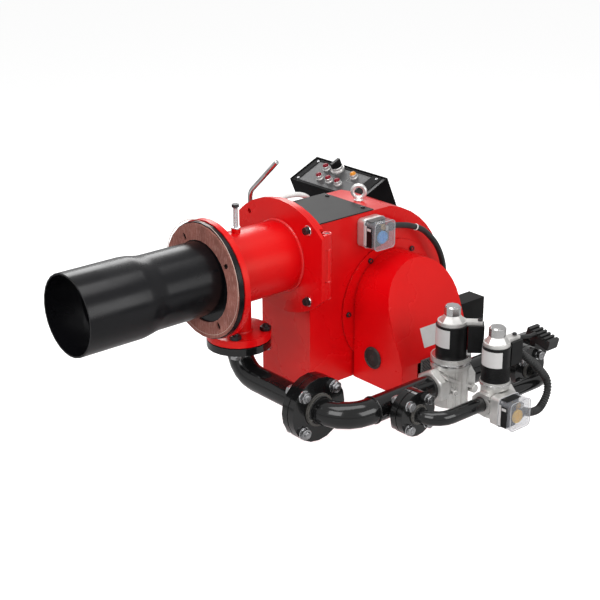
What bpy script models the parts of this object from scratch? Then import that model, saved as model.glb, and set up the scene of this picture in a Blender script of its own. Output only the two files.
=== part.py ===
"""Industrial gas burner: a blast tube on a round flange, a sleeve with a gas stub, a fan
housing that swings on a vertical hinge, a hood that takes in the air, and a gas train with
a main valve and a start-gas valve side by side.

Metres, +Z up. X runs along the flame axis, away from the boiler. The origin is the point
where the flame axis passes the front face of the boiler gasket. The hood and the gas train
are on the -Y side, the fan motor is on the +Y side.
"""

import math

import bmesh
import bpy
from mathutils import Vector

# Clearances, and how far a cutter or a sunk end runs past a face
gap = 0.0003
slip = 0.0005
overrun = 0.003
sink = 0.001

# How finely round things are divided
large_steps = 28
round_steps = 20
small_steps = 12
bolt_steps = 6
bend_steps = 5

# Blast tube
tube_length = 0.280
tube_radius = 0.068
tube_wide_radius = 0.074
tube_wall = 0.003
tube_neck_front = -0.157
tube_neck_back = -0.115
tube_neck_rings = 5

# Boiler flange: gasket, the tube's own flange and the sleeve's flange share an axis that
# lies a little below the flame axis
flange_drop = 0.007
gasket_radius = 0.107
gasket_hole_radius = 0.0765
gasket_thickness = 0.003
gasket_slot_circle = 0.0865
gasket_slot_length = 0.015
gasket_slot_width = 0.009
gasket_slot_turn = math.radians(57)
slot_count = 4
tube_flange_radius = 0.109
tube_flange_thickness = 0.010
sleeve_flange_radius = 0.111
sleeve_flange_thickness = 0.012

# Sleeve and its front plate, which has arcs above and below and flat sides
sleeve_radius = 0.068
sleeve_wall = 0.004
plate_front = 0.183
plate_thickness = 0.008
plate_half_width = 0.120
plate_half_height = 0.109
plate_arc_radius = 0.172
plate_arc_points = 10
housing_flange_thickness = 0.0115
housing_flange_inset = 0.003
plate_bolt_side = 0.082
plate_bolt_rise = 0.069
plate_bolt_head = 0.0065
plate_hole_side = 0.088
plate_hole_rise = 0.066
plate_hole_radius = 0.0052
plate_washer_radius = 0.0088
weld_width = 0.004

# Hinge barrels: the near one joins front plate and housing, the far one guides the lever
hinge_x = 0.2035
hinge_side = 0.1108
hinge_radius = 0.0085
hinge_bore = 0.0048
hinge_top = 0.066
hinge_upper_joint = 0.037
hinge_lower_joint = -0.025
hinge_bottom = -0.058
hinge_joint_gap = 0.0006
hinge_leaf = 0.006

# Pins: a headed one on the near side, on the far side a chromed rod with a bent handle
pin_radius = 0.0045
pin_head_radius = 0.0068
pin_head_height = 0.003
pin_handle_rise = 0.0285
pin_handle_length = 0.112
pin_handle_tilt = math.radians(43)
pin_bend_radius = 0.014
pin_tip_length = 0.006

# Set screw on top of the sleeve
screw_x = 0.081
screw_boss_radius = 0.0085
screw_boss_height = 0.007
screw_radius = 0.0045
screw_depth = 0.0538
screw_length = 0.0405
screw_head_across = 0.013
screw_head_height = 0.0055
screw_collar_radius = 0.0072
screw_collar_height = 0.002

# Gas pipes and flanges, DN 40 for the main line and DN 20 for the start gas
pipe_radius = 0.02415
pipe_wall = 0.003
pipe_bend = 0.057
stub_bend = 0.050
line_flange_radius = 0.061
line_flange_thickness = 0.014
line_bolt_circle = 0.050
line_bolt_radius = 0.006
line_bolt_across = 0.019
line_gasket_radius = 0.043
line_hub_radius = 0.031
line_hub_length = 0.004
seal_thickness = 0.002
branch_radius = 0.01345
branch_wall = 0.0025
branch_bend = 0.038
branch_flange_radius = 0.0418
branch_flange_thickness = 0.013
branch_bolt_circle = 0.0325
branch_bolt_radius = 0.005
branch_bolt_across = 0.016
branch_gasket_radius = 0.026
branch_hub_radius = 0.0185
bolt_head_height = 0.0075
bolt_tail = 0.004
bolt_count = 4
bolt_turn = math.radians(45)

stub_x = 0.083
stub_flange_top = -0.1227
train_z = -0.2065
train_flange_front = -0.2256
train_y = -0.290
pilot_y = -0.399
branch_left_x = 0.2013
branch_right_x = 0.4987
branch_flange_front = -0.355
inlet_x = 0.585
inlet_collar_radius = 0.034
inlet_collar_length = 0.030
weld_ring_height = 0.0012
weld_ring_x = 0.150

# Valves
valve_x = 0.350
port_sides = 8
port_socket_depth = 0.016
main_port_reach = 0.040
main_port_across = 0.053
main_body_radius = 0.0345
main_body_bottom = -0.250
main_body_top = -0.175
main_ring_radius = 0.0375
main_ring_height = 0.0202
main_coil_radius = 0.0290
main_coil_height = 0.0602
main_plate_radius = 0.0270
main_plug_height = 0.052
main_plug_turn = math.radians(-45)
pilot_port_reach = 0.036
pilot_port_across = 0.041
pilot_body_radius = 0.0255
pilot_body_bottom = -0.235
pilot_body_top = -0.1759
pilot_ring_radius = 0.0278
pilot_ring_height = 0.0085
pilot_coil_radius = 0.0252
pilot_coil_height = 0.065
pilot_plate_radius = 0.0242
pilot_plug_height = 0.044
pilot_plug_turn = 0
valve_core_radius = 0.0095
valve_plate_thickness = 0.0065
valve_ear_width = 0.018
valve_ear_reach = 0.028
valve_skirt_height = 0.011
valve_cap_radius = 0.0155
valve_cap_height = 0.0175
valve_cap_sides = 8
valve_cap_bevel = 0.0025
valve_stem_radius = 0.004
valve_plug_depth = 0.029
valve_plug_width = 0.028
valve_rib_thickness = 0.006
valve_rib_depth = 0.007
bottom_cap_radius_share = 0.72
bottom_cap_height = 0.004

# Fan housing, a box in front with a scroll behind
housing_front = 0.2015
housing_near = 0.066
housing_far = 0.076
housing_wall = 0.003
housing_bottom = -0.263
scroll_x = 0.4076
scroll_z = -0.129
scroll_top_radius = 0.195
scroll_growth_power = 2.5
scroll_points = 20
air_outlet_radius = 0.062
fan_opening_radius = 0.1073
ring_radius = 0.126
ring_thickness = 0.003
ring_eye_radius = 0.070
ring_eye_lip = 0.014
ring_screw_circle = 0.1117
ring_screw_radius = 0.0042
ring_screw_height = 0.003
ring_screw_count = 6

# Fan wheel and motor
wheel_radius = 0.106
wheel_inner_radius = 0.078
wheel_back_y = 0.052
wheel_front_y = -0.044
wheel_disc_thickness = 0.003
wheel_hub_radius = 0.019
wheel_hub_length = 0.030
wheel_ring_width = 0.008
blade_count = 18
blade_thickness = 0.0016
blade_turn = math.radians(38)
blade_points = 3
shaft_radius = 0.007
motor_plate_thickness = 0.004
motor_radius = 0.068
motor_length = 0.135
motor_neck_radius = 0.060
motor_neck_length = 0.012
motor_cowl_radius = 0.071
motor_cowl_length = 0.040
motor_fin_count = 16
motor_fin_height = 0.007
motor_fin_width = 0.003
terminal_half_width = 0.036
terminal_half_length = 0.030
terminal_top = -0.030
terminal_y = 0.155
terminal_lid = 0.004

# Air intake hood: a D outline with its face leaning back above the grille
hood_x = 0.405
hood_radius = 0.0935
hood_centre_z = -0.115
hood_front = 0.2026
hood_fold_z = -0.2027
hood_face_slope = 0.376
hood_wall = 0.002
hood_arc_points = 16
hood_grille_margin = 0.042
hood_grille_bottom_margin = 0.012
grille_thickness = 0.003
grille_frame = 0.007
grille_slot_count = 7
grille_bar_share = 0.42
plug_y = -0.124
plug_z = -0.206
plug_radius = 0.0215
plug_rim = 0.003
plug_depth = 0.006
plug_neck_radius = 0.0185
plug_hole_radius = 0.0190

# Air damper and its servomotor
damper_y = -0.145
damper_z = -0.163
damper_half_height = 0.034
damper_thickness = 0.002
damper_shaft_radius = 0.004
damper_stub = 0.004
damper_clearance = 0.001
damper_window_margin = 0.006
servo_length = 0.065
servo_near = 0.1765
servo_far = 0.1365
servo_top = -0.129
servo_bottom = -0.198

# Top cover and eye bolt
cover_front = 0.204
cover_back = 0.363
cover_thickness = 0.002
cover_margin = 0.001
cover_screw_radius = 0.0032
cover_screw_height = 0.002
cover_screw_inset = 0.010
eye_x = 0.385
eye_ring_radius = 0.0120
eye_wire_radius = 0.0045
eye_foot_radius = 0.009
eye_foot_height = 0.002
eye_turn = math.radians(50)

# Console on the far side of the housing, tilted towards the boiler
console_tilt = math.radians(23.6)
console_far = 0.295
console_back_x = 0.5366
console_back_z = 0.0650
console_depth = 0.084
console_back_height = 0.078
console_front_height = 0.039
console_wall = 0.0015
console_plate_side = 0.018
console_plate_front = 0.007
console_plate_thickness = 0.002
console_plate_sink = 0.003
lamp_radius = 0.0072
lamp_bezel_radius = 0.0095
lamp_bezel_height = 0.004
lamp_lens_height = 0.006
lamp_stem_radius = 0.006
lamp_stem_length = 0.012
selector_radius = 0.0115
selector_height = 0.007
selector_grip_length = 0.024
selector_grip_width = 0.007
selector_grip_height = 0.011
selector_bezel_radius = 0.0145
selector_bezel_height = 0.004
selector_along = 0.0165
selector_y = 0.212
lamp_back_row = 0.024
lamp_front_row = 0.055
lamp_first_y = 0.239
lamp_front_y = 0.2287
lamp_pitch = 0.0285
lamp_front_count = 3
lamp_last_y = 0.154

# Pressure switches
switch_width = 0.053
switch_height = 0.055
switch_base_depth = 0.018
switch_cover_depth = 0.030
switch_cover_wall = 0.002
switch_corner = 0.008
switch_corner_points = 4
switch_dial_radius = 0.0105
switch_dial_height = 0.008
switch_post_radius = 0.006
switch_post_height = 0.016
air_switch_x = 0.347
air_switch_z = 0.031
gas_switch_x = 0.343
gas_switch_z = -0.212

# Cables
air_conduit_radius = 0.0058
gas_conduit_radius = 0.0070
cable_radius = 0.0040
curve_spacing_diameters = 1.0

# Plug connector at the inlet end of the train
connector_length = 0.056
connector_width = 0.028
connector_height = 0.020
connector_shift = 0.012
connector_reach = -0.010
connector_lift = 0.010
connector_tilt = math.radians(14)
connector_rib_count = 6
connector_rib_depth = 0.004

# Burner head inside the tube
lance_radius = 0.0212
lance_wall = 0.002
lance_foot_radius = 0.0198
lance_foot = 0.014
lance_front = -0.165
lance_back = 0.112
head_radius = 0.034
head_length = 0.030
head_hole_count = 8
head_hole_radius = 0.0028
disc_radius = 0.064
disc_x = -0.205
disc_thickness = 0.002
disc_slot_count = 12
disc_slot_inner = 0.024
disc_slot_outer = 0.054
disc_slot_width = 0.005
disc_stem_radius = 0.008
electrode_radius = 0.0055
electrode_wire_radius = 0.0012
electrode_length = 0.075
electrode_offset = 0.0295
electrode_wire_lift = 0.006
electrode_tip = 0.010
electrode_clamp_length = 0.014
electrode_clamp_wall = 0.0045


def paint(name, colour, roughness, metallic):
    """A plain material with the colour of the piece."""
    made = bpy.data.materials.new(name)
    made.use_nodes = True
    shader = made.node_tree.nodes["Principled BSDF"]
    shader.inputs["Base Color"].default_value = (*colour, 1)
    shader.inputs["Roughness"].default_value = roughness
    shader.inputs["Metallic"].default_value = metallic
    return made


def to_world(axis, u, v, h):
    """Turn a point drawn across an axis (u, v) and along it (h) into X, Y, Z."""
    if axis == "X":
        return Vector((h, u, v))
    if axis == "Y":
        return Vector((u, h, v))
    return Vector((u, v, h))


def finish(name, mesh_work, material):
    """Close the work mesh into an object with its faces pointing out."""
    bmesh.ops.recalc_face_normals(mesh_work, faces=mesh_work.faces)
    mesh = bpy.data.meshes.new(name)
    mesh_work.to_mesh(mesh)
    mesh_work.free()
    mesh.materials.append(material)
    made = bpy.data.objects.new(name, mesh)
    bpy.context.scene.collection.objects.link(made)
    return made


def circle(radius, steps, centre=(0, 0), start=0):
    """Points of a circle across an axis."""
    points = []
    for index in range(steps):
        angle = start + math.tau * index / steps
        points.append((centre[0] + radius * math.cos(angle), centre[1] + radius * math.sin(angle)))
    return points


def hexagon(across, centre=(0, 0)):
    """A hexagon of twelve points, so that it lofts into a round shank of as many steps."""
    points = []
    sixth = math.tau / 6
    for index in range(bolt_steps):
        angle = math.tau * index / bolt_steps
        radius = across / 2 / math.cos((angle + sixth / 2) % sixth - sixth / 2)
        points.append((centre[0] + radius * math.cos(angle), centre[1] + radius * math.sin(angle)))
    return points


def rectangle(u_low, u_high, v_low, v_high):
    """Four corners across an axis."""
    return [(u_low, v_low), (u_high, v_low), (u_high, v_high), (u_low, v_high)]


def round_rectangle(width, height, corner, steps, centre):
    """A rectangle with round corners, as arcs about the four corner centres."""
    points = []
    for side_u, side_v, start in ((1, 1, 0), (-1, 1, 1), (-1, -1, 2), (1, -1, 3)):
        middle_u = centre[0] + side_u * (width / 2 - corner)
        middle_v = centre[1] + side_v * (height / 2 - corner)
        for index in range(steps + 1):
            angle = math.tau / 4 * (start + index / steps)
            points.append((middle_u + corner * math.cos(angle), middle_v + corner * math.sin(angle)))
    return points


def lofted(name, rings, axis, material):
    """A solid through rings of equal point count, each given as (outline, height)."""
    work = bmesh.new()
    rows = []
    for outline, height in rings:
        rows.append([work.verts.new(to_world(axis, u, v, height)) for u, v in outline])
    for lower, upper in zip(rows, rows[1:]):
        for index in range(len(lower)):
            after = (index + 1) % len(lower)
            work.faces.new((lower[index], lower[after], upper[after], upper[index]))
    work.faces.new(rows[0])
    work.faces.new(rows[-1])
    return finish(name, work, material)


def prism(name, outline, low, high, axis, material):
    """An outline drawn across an axis and extruded between two heights."""
    return lofted(name, [(outline, low), (outline, high)], axis, material)


def box(name, low, high, material):
    """A block between two corners."""
    return prism(name, rectangle(low[0], high[0], low[1], high[1]), low[2], high[2], "Z", material)


def turned(name, profile, axis, centre, steps, material):
    """A profile of (radius, height) points turned about an axis through centre (u, v).

    A profile that starts at radius zero is a solid; any other is a ring, closed on itself.
    """
    work = bmesh.new()
    rows = []
    for radius, height in profile:
        if radius == 0:
            rows.append([work.verts.new(to_world(axis, centre[0], centre[1], height))])
            continue
        outline = circle(radius, steps, centre)
        rows.append([work.verts.new(to_world(axis, u, v, height)) for u, v in outline])
    pairs = list(zip(rows, rows[1:]))
    if profile[0][0] != 0:
        pairs.append((rows[-1], rows[0]))
    for lower, upper in pairs:
        for index in range(steps):
            after = (index + 1) % steps
            corners = [lower[index % len(lower)], lower[after % len(lower)]]
            corners += [upper[after % len(upper)], upper[index % len(upper)]]
            work.faces.new(list(dict.fromkeys(corners)))
    return finish(name, work, material)


def disc(name, radius, low, high, axis, centre, steps, material):
    """A round solid between two heights."""
    return prism(name, circle(radius, steps, centre), low, high, axis, material)


def washer(name, outer, inner, low, high, axis, centre, steps, material):
    """A flat ring."""
    profile = [(inner, low), (outer, low), (outer, high), (inner, high)]
    return turned(name, profile, axis, centre, steps, material)


def corner_arc(corner, before, after, radius, steps):
    """The points of a bend that rounds the corner between two straight runs."""
    back = (Vector(before) - Vector(corner)).normalized()
    ahead = (Vector(after) - Vector(corner)).normalized()
    half_angle = back.angle(ahead) / 2
    reach = radius / math.tan(half_angle)
    centre = Vector(corner) + (back + ahead).normalized() * radius / math.sin(half_angle)
    first = Vector(corner) + back * reach - centre
    last = Vector(corner) + ahead * reach - centre
    sweep = first.angle(last)
    points = []
    for index in range(steps + 1):
        share = index / steps
        point = first * math.sin((1 - share) * sweep) + last * math.sin(share * sweep)
        points.append(centre + point / math.sin(sweep))
    return points


def run_of(corners, radius, steps):
    """A route through corners, each rounded to the same bend radius."""
    route = [Vector(corners[0])]
    for before, corner, after in zip(corners, corners[1:], corners[2:]):
        route += corner_arc(corner, before, after, radius, steps)
    route.append(Vector(corners[-1]))
    return route


def frames_along(route):
    """A pair of cross directions at each point of a route, carried without twist."""
    frames = []
    side = None
    for index, point in enumerate(route):
        before = route[max(index - 1, 0)]
        after = route[min(index + 1, len(route) - 1)]
        ahead = (after - before).normalized()
        if side is None:
            side = ahead.orthogonal().normalized()
        side = (side - ahead * side.dot(ahead)).normalized()
        frames.append((side, ahead.cross(side)))
    return frames


def rod(name, route, radius, steps, material):
    """A solid round bar along a route."""
    work = bmesh.new()
    rows = []
    for point, (side, up) in zip(route, frames_along(route)):
        row = []
        for u, v in circle(radius, steps):
            row.append(work.verts.new(point + side * u + up * v))
        rows.append(row)
    for lower, upper in zip(rows, rows[1:]):
        for index in range(steps):
            after = (index + 1) % steps
            work.faces.new((lower[index], lower[after], upper[after], upper[index]))
    work.faces.new(rows[0])
    work.faces.new(rows[-1])
    return finish(name, work, material)


def stretched(route, length):
    """The route with both ends moved out along their own directions."""
    first = route[0] + (route[0] - route[1]).normalized() * length
    last = route[-1] + (route[-1] - route[-2]).normalized() * length
    return [first] + route[1:-1] + [last]


def bake(made):
    """Turn an object's modifiers into its mesh."""
    evaluated = made.evaluated_get(bpy.context.evaluated_depsgraph_get())
    mesh = bpy.data.meshes.new_from_object(evaluated)
    made.modifiers.clear()
    made.data = mesh
    return made


def combine(made, tools, operation):
    """Add or cut away tools, one after the other, and remove them."""
    for tool in tools:
        modifier = made.modifiers.new("shape", "BOOLEAN")
        modifier.operation = operation
        modifier.object = tool
        bake(made)
        bpy.data.objects.remove(tool)
    return made


def add(made, *tools):
    """Fuse pieces that the real object has as one."""
    return combine(made, tools, "UNION")


def cut(made, *tools):
    """Cut tools out of a piece."""
    return combine(made, tools, "DIFFERENCE")


def origin_at(made, point):
    """Put an object's origin on a point of its joint axis, leaving its shape in place."""
    for vertex in made.data.vertices:
        vertex.co -= Vector(point)
    made.location = point
    return made


def bolt_places(circle_radius, count, turn, centre):
    """Places round a bolt circle."""
    return circle(circle_radius, count, centre, turn)


def fastener(name, axis, place, head, seat, nut_seat, radius, across, material):
    """A bolt whose head is at one face and whose nut is at the other.

    head is the head's free end, seat the face it bears on and nut_seat the face under the
    nut. The nut is as high as the head, and the bolt's end stands past it.
    """
    away = 1 if nut_seat > seat else -1
    shank = circle(radius, bolt_steps, place)
    hexes = hexagon(across, place)
    nut_end = nut_seat + away * bolt_head_height
    rings = [(hexes, head), (hexes, seat), (shank, seat), (shank, nut_seat), (hexes, nut_seat)]
    rings += [(hexes, nut_end), (shank, nut_end), (shank, nut_end + away * bolt_tail)]
    return lofted(name, rings, axis, material)


def clear_objects():
    """Start from an empty scene."""
    for old in list(bpy.data.objects):
        bpy.data.objects.remove(old)


clear_objects()

red_paint = paint("red_paint", (0.78, 0.015, 0.02), 0.28, 0)
black_paint = paint("black_paint", (0.012, 0.012, 0.013), 0.35, 0)
tube_black = paint("tube_black", (0.02, 0.021, 0.024), 0.42, 0.2)
gasket_brown = paint("gasket_brown", (0.42, 0.2, 0.16), 0.9, 0)
seal_black = paint("seal_black", (0.015, 0.015, 0.015), 0.8, 0)
chrome = paint("chrome", (0.8, 0.8, 0.8), 0.15, 1)
cast_aluminium = paint("cast_aluminium", (0.62, 0.61, 0.59), 0.45, 0.9)
coil_black = paint("coil_black", (0.018, 0.018, 0.019), 0.45, 0)
bolt_black = paint("bolt_black", (0.03, 0.03, 0.032), 0.4, 0.6)
clear_plastic = paint("clear_plastic", (0.75, 0.77, 0.78), 0.12, 0)
blue_dial = paint("blue_dial", (0.12, 0.42, 0.75), 0.4, 0)
yellow_dial = paint("yellow_dial", (0.85, 0.6, 0.08), 0.4, 0)
lamp_red = paint("lamp_red", (0.4, 0.005, 0.03), 0.2, 0)
lamp_orange = paint("lamp_orange", (0.9, 0.45, 0.03), 0.2, 0)
dark_grey = paint("dark_grey", (0.1, 0.1, 0.105), 0.5, 0)
steel = paint("steel", (0.5, 0.5, 0.5), 0.35, 1)
ceramic = paint("ceramic", (0.85, 0.83, 0.78), 0.3, 0)
motor_grey = paint("motor_grey", (0.55, 0.56, 0.57), 0.5, 0.4)

# Places that follow from the sizes above
flange_axis = (0, -flange_drop)
tube_flange_front = gasket_thickness + gap
tube_flange_back = tube_flange_front + tube_flange_thickness
sleeve_flange_front = tube_flange_back + gap
sleeve_flange_back = sleeve_flange_front + sleeve_flange_thickness
plate_back = plate_front + plate_thickness
housing_flange_front = plate_back + gap
housing_flange_back = housing_flange_front + housing_flange_thickness
housing_top = scroll_z + scroll_top_radius
scroll_bottom_radius = scroll_z - housing_bottom


def blast_tube():
    """The swaged tube and the flange it is welded to, which clamps behind the gasket."""
    outer = [(tube_wide_radius, -tube_length), (tube_wide_radius, tube_neck_front)]
    for index in range(1, tube_neck_rings):
        share = index / tube_neck_rings
        blend = (1 - math.cos(math.pi * share)) / 2
        radius = tube_wide_radius + (tube_radius - tube_wide_radius) * blend
        outer.append((radius, tube_neck_front + (tube_neck_back - tube_neck_front) * share))
    outer += [(tube_radius, tube_neck_back), (tube_radius, tube_flange_back)]
    inner = [(radius - tube_wall, height) for radius, height in reversed(outer)]
    tube = turned("blast_tube", outer + inner, "X", (0, 0), large_steps, tube_black)
    flange = disc("flange", tube_flange_radius, tube_flange_front, tube_flange_back, "X",
                  flange_axis, large_steps, tube_black)
    bore = disc("bore", tube_radius - tube_wall / 2, tube_flange_front - overrun,
                tube_flange_back + overrun, "X", (0, 0), large_steps, tube_black)
    add(tube, cut(flange, bore))
    return tube


def boiler_gasket():
    """The fibre gasket against the boiler, with four slots for the studs."""
    gasket = washer("boiler_gasket", gasket_radius, gasket_hole_radius, 0, gasket_thickness, "X",
                    flange_axis, large_steps, gasket_brown)
    for index in range(slot_count):
        angle = gasket_slot_turn + math.tau * index / slot_count
        along = Vector((math.cos(angle), math.sin(angle)))
        across = Vector((-along.y, along.x))
        middle = Vector(flange_axis) + along * gasket_slot_circle
        half_run = (gasket_slot_length - gasket_slot_width) / 2
        outline = []
        for end, start in ((1, 0), (-1, math.pi)):
            for step in range(bolt_steps // 2 + 1):
                turn = start + math.pi * step / (bolt_steps // 2)
                spot = middle + along * end * half_run
                spot = spot + along * math.sin(turn - start) * end * gasket_slot_width / 2
                spot = spot + across * -math.cos(turn - start) * end * gasket_slot_width / 2
                outline.append(tuple(spot))
        cut(gasket, prism("slot", outline, -overrun, gasket_thickness + overrun, "X", gasket_brown))
    return gasket


def plate_outline(inset, side_limit):
    """Arcs above and below, flat sides at the limit, drawn in Y and Z."""
    radius = plate_arc_radius - inset
    centre = plate_half_height - plate_arc_radius
    half_angle = math.asin(side_limit / radius)
    points = []
    for side in (1, -1):
        for index in range(plate_arc_points + 1):
            angle = half_angle * (1 - 2 * index / plate_arc_points) * side
            points.append((radius * math.sin(angle), side * (centre + radius * math.cos(angle))))
    return points


def knuckle(name, side, low, high, material):
    """One turn of a hinge barrel with its leaf back to the plate it is welded to."""
    centre = (hinge_x, side * hinge_side)
    barrel = disc(name, hinge_radius, low, high, "Z", centre, small_steps, material)
    return barrel


def hinge_bores(side, low, high):
    """The cutter for the pin's bore."""
    centre = (hinge_x, side * hinge_side)
    return disc("bore", hinge_bore, low - overrun, high + overrun, "Z", centre, small_steps, black_paint)


def burner_head():
    """Flange, sleeve, front plate, hinge knuckles, gas stub and its flange, welded together."""
    outer = disc("burner_head", sleeve_radius, sleeve_flange_back - sink, plate_front + sink, "X",
                 (0, 0), large_steps, red_paint)
    flange = disc("flange", sleeve_flange_radius, sleeve_flange_front, sleeve_flange_back, "X",
                  flange_axis, large_steps, red_paint)
    plate = prism("plate", plate_outline(0, plate_half_width), plate_front, plate_back, "X", red_paint)
    half_step = math.pi / round_steps
    stub = prism("stub", circle(pipe_radius, round_steps, (stub_x, 0), half_step), stub_flange_top - sink,
                 -sleeve_radius / 2, "Z", red_paint)
    stub_flange = disc("stub_flange", line_flange_radius, stub_flange_top - line_flange_thickness,
                       stub_flange_top, "Z", (stub_x, 0), round_steps, red_paint)
    boss = disc("boss", screw_boss_radius, sleeve_radius - sleeve_wall / 2,
                sleeve_radius + screw_boss_height, "Z", (screw_x, 0), small_steps, red_paint)
    add(outer, flange, plate, stub, stub_flange, boss)
    for side in (-1, 1):
        for low, high in ((hinge_upper_joint + hinge_joint_gap / 2, hinge_top),
                          (hinge_bottom, hinge_lower_joint - hinge_joint_gap / 2)):
            barrel = knuckle("knuckle", side, low, high, red_paint)
            leaf_side = side * (hinge_side + hinge_radius - hinge_leaf / 2)
            leaf = box("leaf", (plate_back - sink, leaf_side - hinge_leaf / 2, low),
                       (hinge_x, leaf_side + hinge_leaf / 2, high), red_paint)
            add(outer, add(barrel, leaf))
            cut(outer, hinge_bores(side, low, high))
    bore = disc("bore", sleeve_radius - sleeve_wall, sleeve_flange_front - overrun,
                plate_back + overrun, "X", (0, 0), large_steps, red_paint)
    bore_outline = circle(pipe_radius - pipe_wall, round_steps, (stub_x, 0), half_step)
    gas_bore = prism("gas_bore", bore_outline, stub_flange_top - line_flange_thickness - overrun,
                     -sleeve_radius / 2 + overrun, "Z", red_paint)
    screw_hole = disc("screw_hole", screw_radius + slip, sleeve_radius / 2,
                      sleeve_radius + screw_boss_height + overrun, "Z", (screw_x, 0), small_steps, red_paint)
    cut(outer, bore, gas_bore, screw_hole)
    low_face = stub_flange_top - line_flange_thickness
    for place in bolt_places(line_bolt_circle, bolt_count, bolt_turn, (stub_x, 0)):
        cut(outer, disc("hole", line_bolt_radius + slip, low_face - overrun, stub_flange_top + overrun,
                        "Z", place, bolt_steps, red_paint))
    for rise in (1, -1):
        add(outer, plate_bolt(-plate_bolt_side, rise * plate_bolt_rise))
        cut(outer, disc("plate_hole", plate_hole_radius, plate_front - overrun, plate_back + overrun, "X",
                        (plate_hole_side, rise * plate_hole_rise), small_steps, red_paint))
    return outer


def plate_bolt(side, rise):
    """A hexagon screw head on its washer, at the front plate."""
    place = (side, rise)
    collar = circle(plate_washer_radius, bolt_steps, place)
    hexes = hexagon(screw_head_across, place)
    washer_front = plate_front - screw_collar_height
    head_front = washer_front - plate_bolt_head
    rings = [(hexes, head_front), (hexes, washer_front), (collar, washer_front), (collar, plate_front + sink)]
    return lofted("plate_bolt", rings, "X", bolt_black)


# Cable routes, hand-placed points from one fixed end to the other
air_conduit_points = [(0.3740, -0.0990, 0.0390), (0.3820, -0.0990, 0.0390), (0.4000, -0.1000, 0.0385),
                      (0.4340, -0.1000, 0.0310), (0.4690, -0.1000, 0.0160), (0.4970, -0.1000, -0.0100),
                      (0.5160, -0.1020, -0.0370), (0.5260, -0.1150, -0.0670), (0.5290, -0.1400, -0.0950),
                      (0.5290, -0.1500, -0.1150), (0.5290, -0.1500, -0.1284)]
gas_conduit_points = [(0.4050, -0.3990, -0.1360), (0.4150, -0.3990, -0.1360), (0.4460, -0.4130, -0.1660),
                      (0.4660, -0.4225, -0.1960), (0.4620, -0.4280, -0.2220), (0.4360, -0.4340, -0.2400),
                      (0.4000, -0.4420, -0.2340), (0.3820, -0.4420, -0.2260), (0.3706, -0.4420, -0.2260)]
valve_cable_points = [(0.3915, -0.3315, -0.1350), (0.3980, -0.3380, -0.1345), (0.4250, -0.3560, -0.1250),
                      (0.4600, -0.3610, -0.1290), (0.4860, -0.3600, -0.1350), (0.4950, -0.3600, -0.1350),
                      (0.5028, -0.3600, -0.1350)]


def hinge_pin():
    """The headed pin through the near hinge, on which the housing swings."""
    place = (hinge_x, -hinge_side)
    shank = circle(pin_radius, small_steps, place)
    head = circle(pin_head_radius, small_steps, place)
    top = hinge_top + gap
    rings = [(shank, hinge_bottom - pin_tip_length / 2), (shank, top), (head, top), (head, top + pin_head_height)]
    return lofted("hinge_pin", rings, "Z", steel)


def locking_lever():
    """The chromed rod through the two knuckles on the far side, bent over into a handle."""
    centre = (hinge_x, hinge_side)
    bend = Vector((centre[0], centre[1], hinge_top + pin_handle_rise))
    lean = Vector((0, -math.cos(pin_handle_tilt), math.sin(pin_handle_tilt)))
    low = Vector((centre[0], centre[1], hinge_bottom - pin_tip_length))
    route = run_of([low, bend, bend + lean * pin_handle_length], pin_bend_radius, bend_steps)
    pin = rod("locking_lever", route, pin_radius, small_steps, chrome)
    return origin_at(pin, (centre[0], centre[1], hinge_top))


def set_screw():
    """The screw on top of the sleeve, which holds the gas lance in place."""
    base = sleeve_radius + screw_boss_height + gap
    shank = circle(screw_radius, bolt_steps, (screw_x, 0))
    collar = circle(screw_collar_radius, bolt_steps, (screw_x, 0))
    hexes = hexagon(screw_head_across, (screw_x, 0))
    rings = [(shank, base - screw_depth), (shank, base), (collar, base), (collar, base + screw_collar_height)]
    rings += [(shank, base + screw_collar_height), (shank, base + screw_length)]
    rings += [(hexes, base + screw_length), (hexes, base + screw_length + screw_head_height)]
    screw = lofted("set_screw", rings, "Z", steel)
    return origin_at(screw, (screw_x, 0, base))


def line_seal(name, outer, inner, low, high, axis, centre):
    """A gasket between two pipe flanges, inside their bolts."""
    return washer(name, outer, inner, low + gap, high - gap, axis, centre, round_steps, seal_black)


def bored(made, route, radius, steps):
    """Cut the bore of a pipe along its own route, past both ends."""
    return cut(made, rod("bore", stretched(route, overrun), radius, steps, black_paint))


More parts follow.
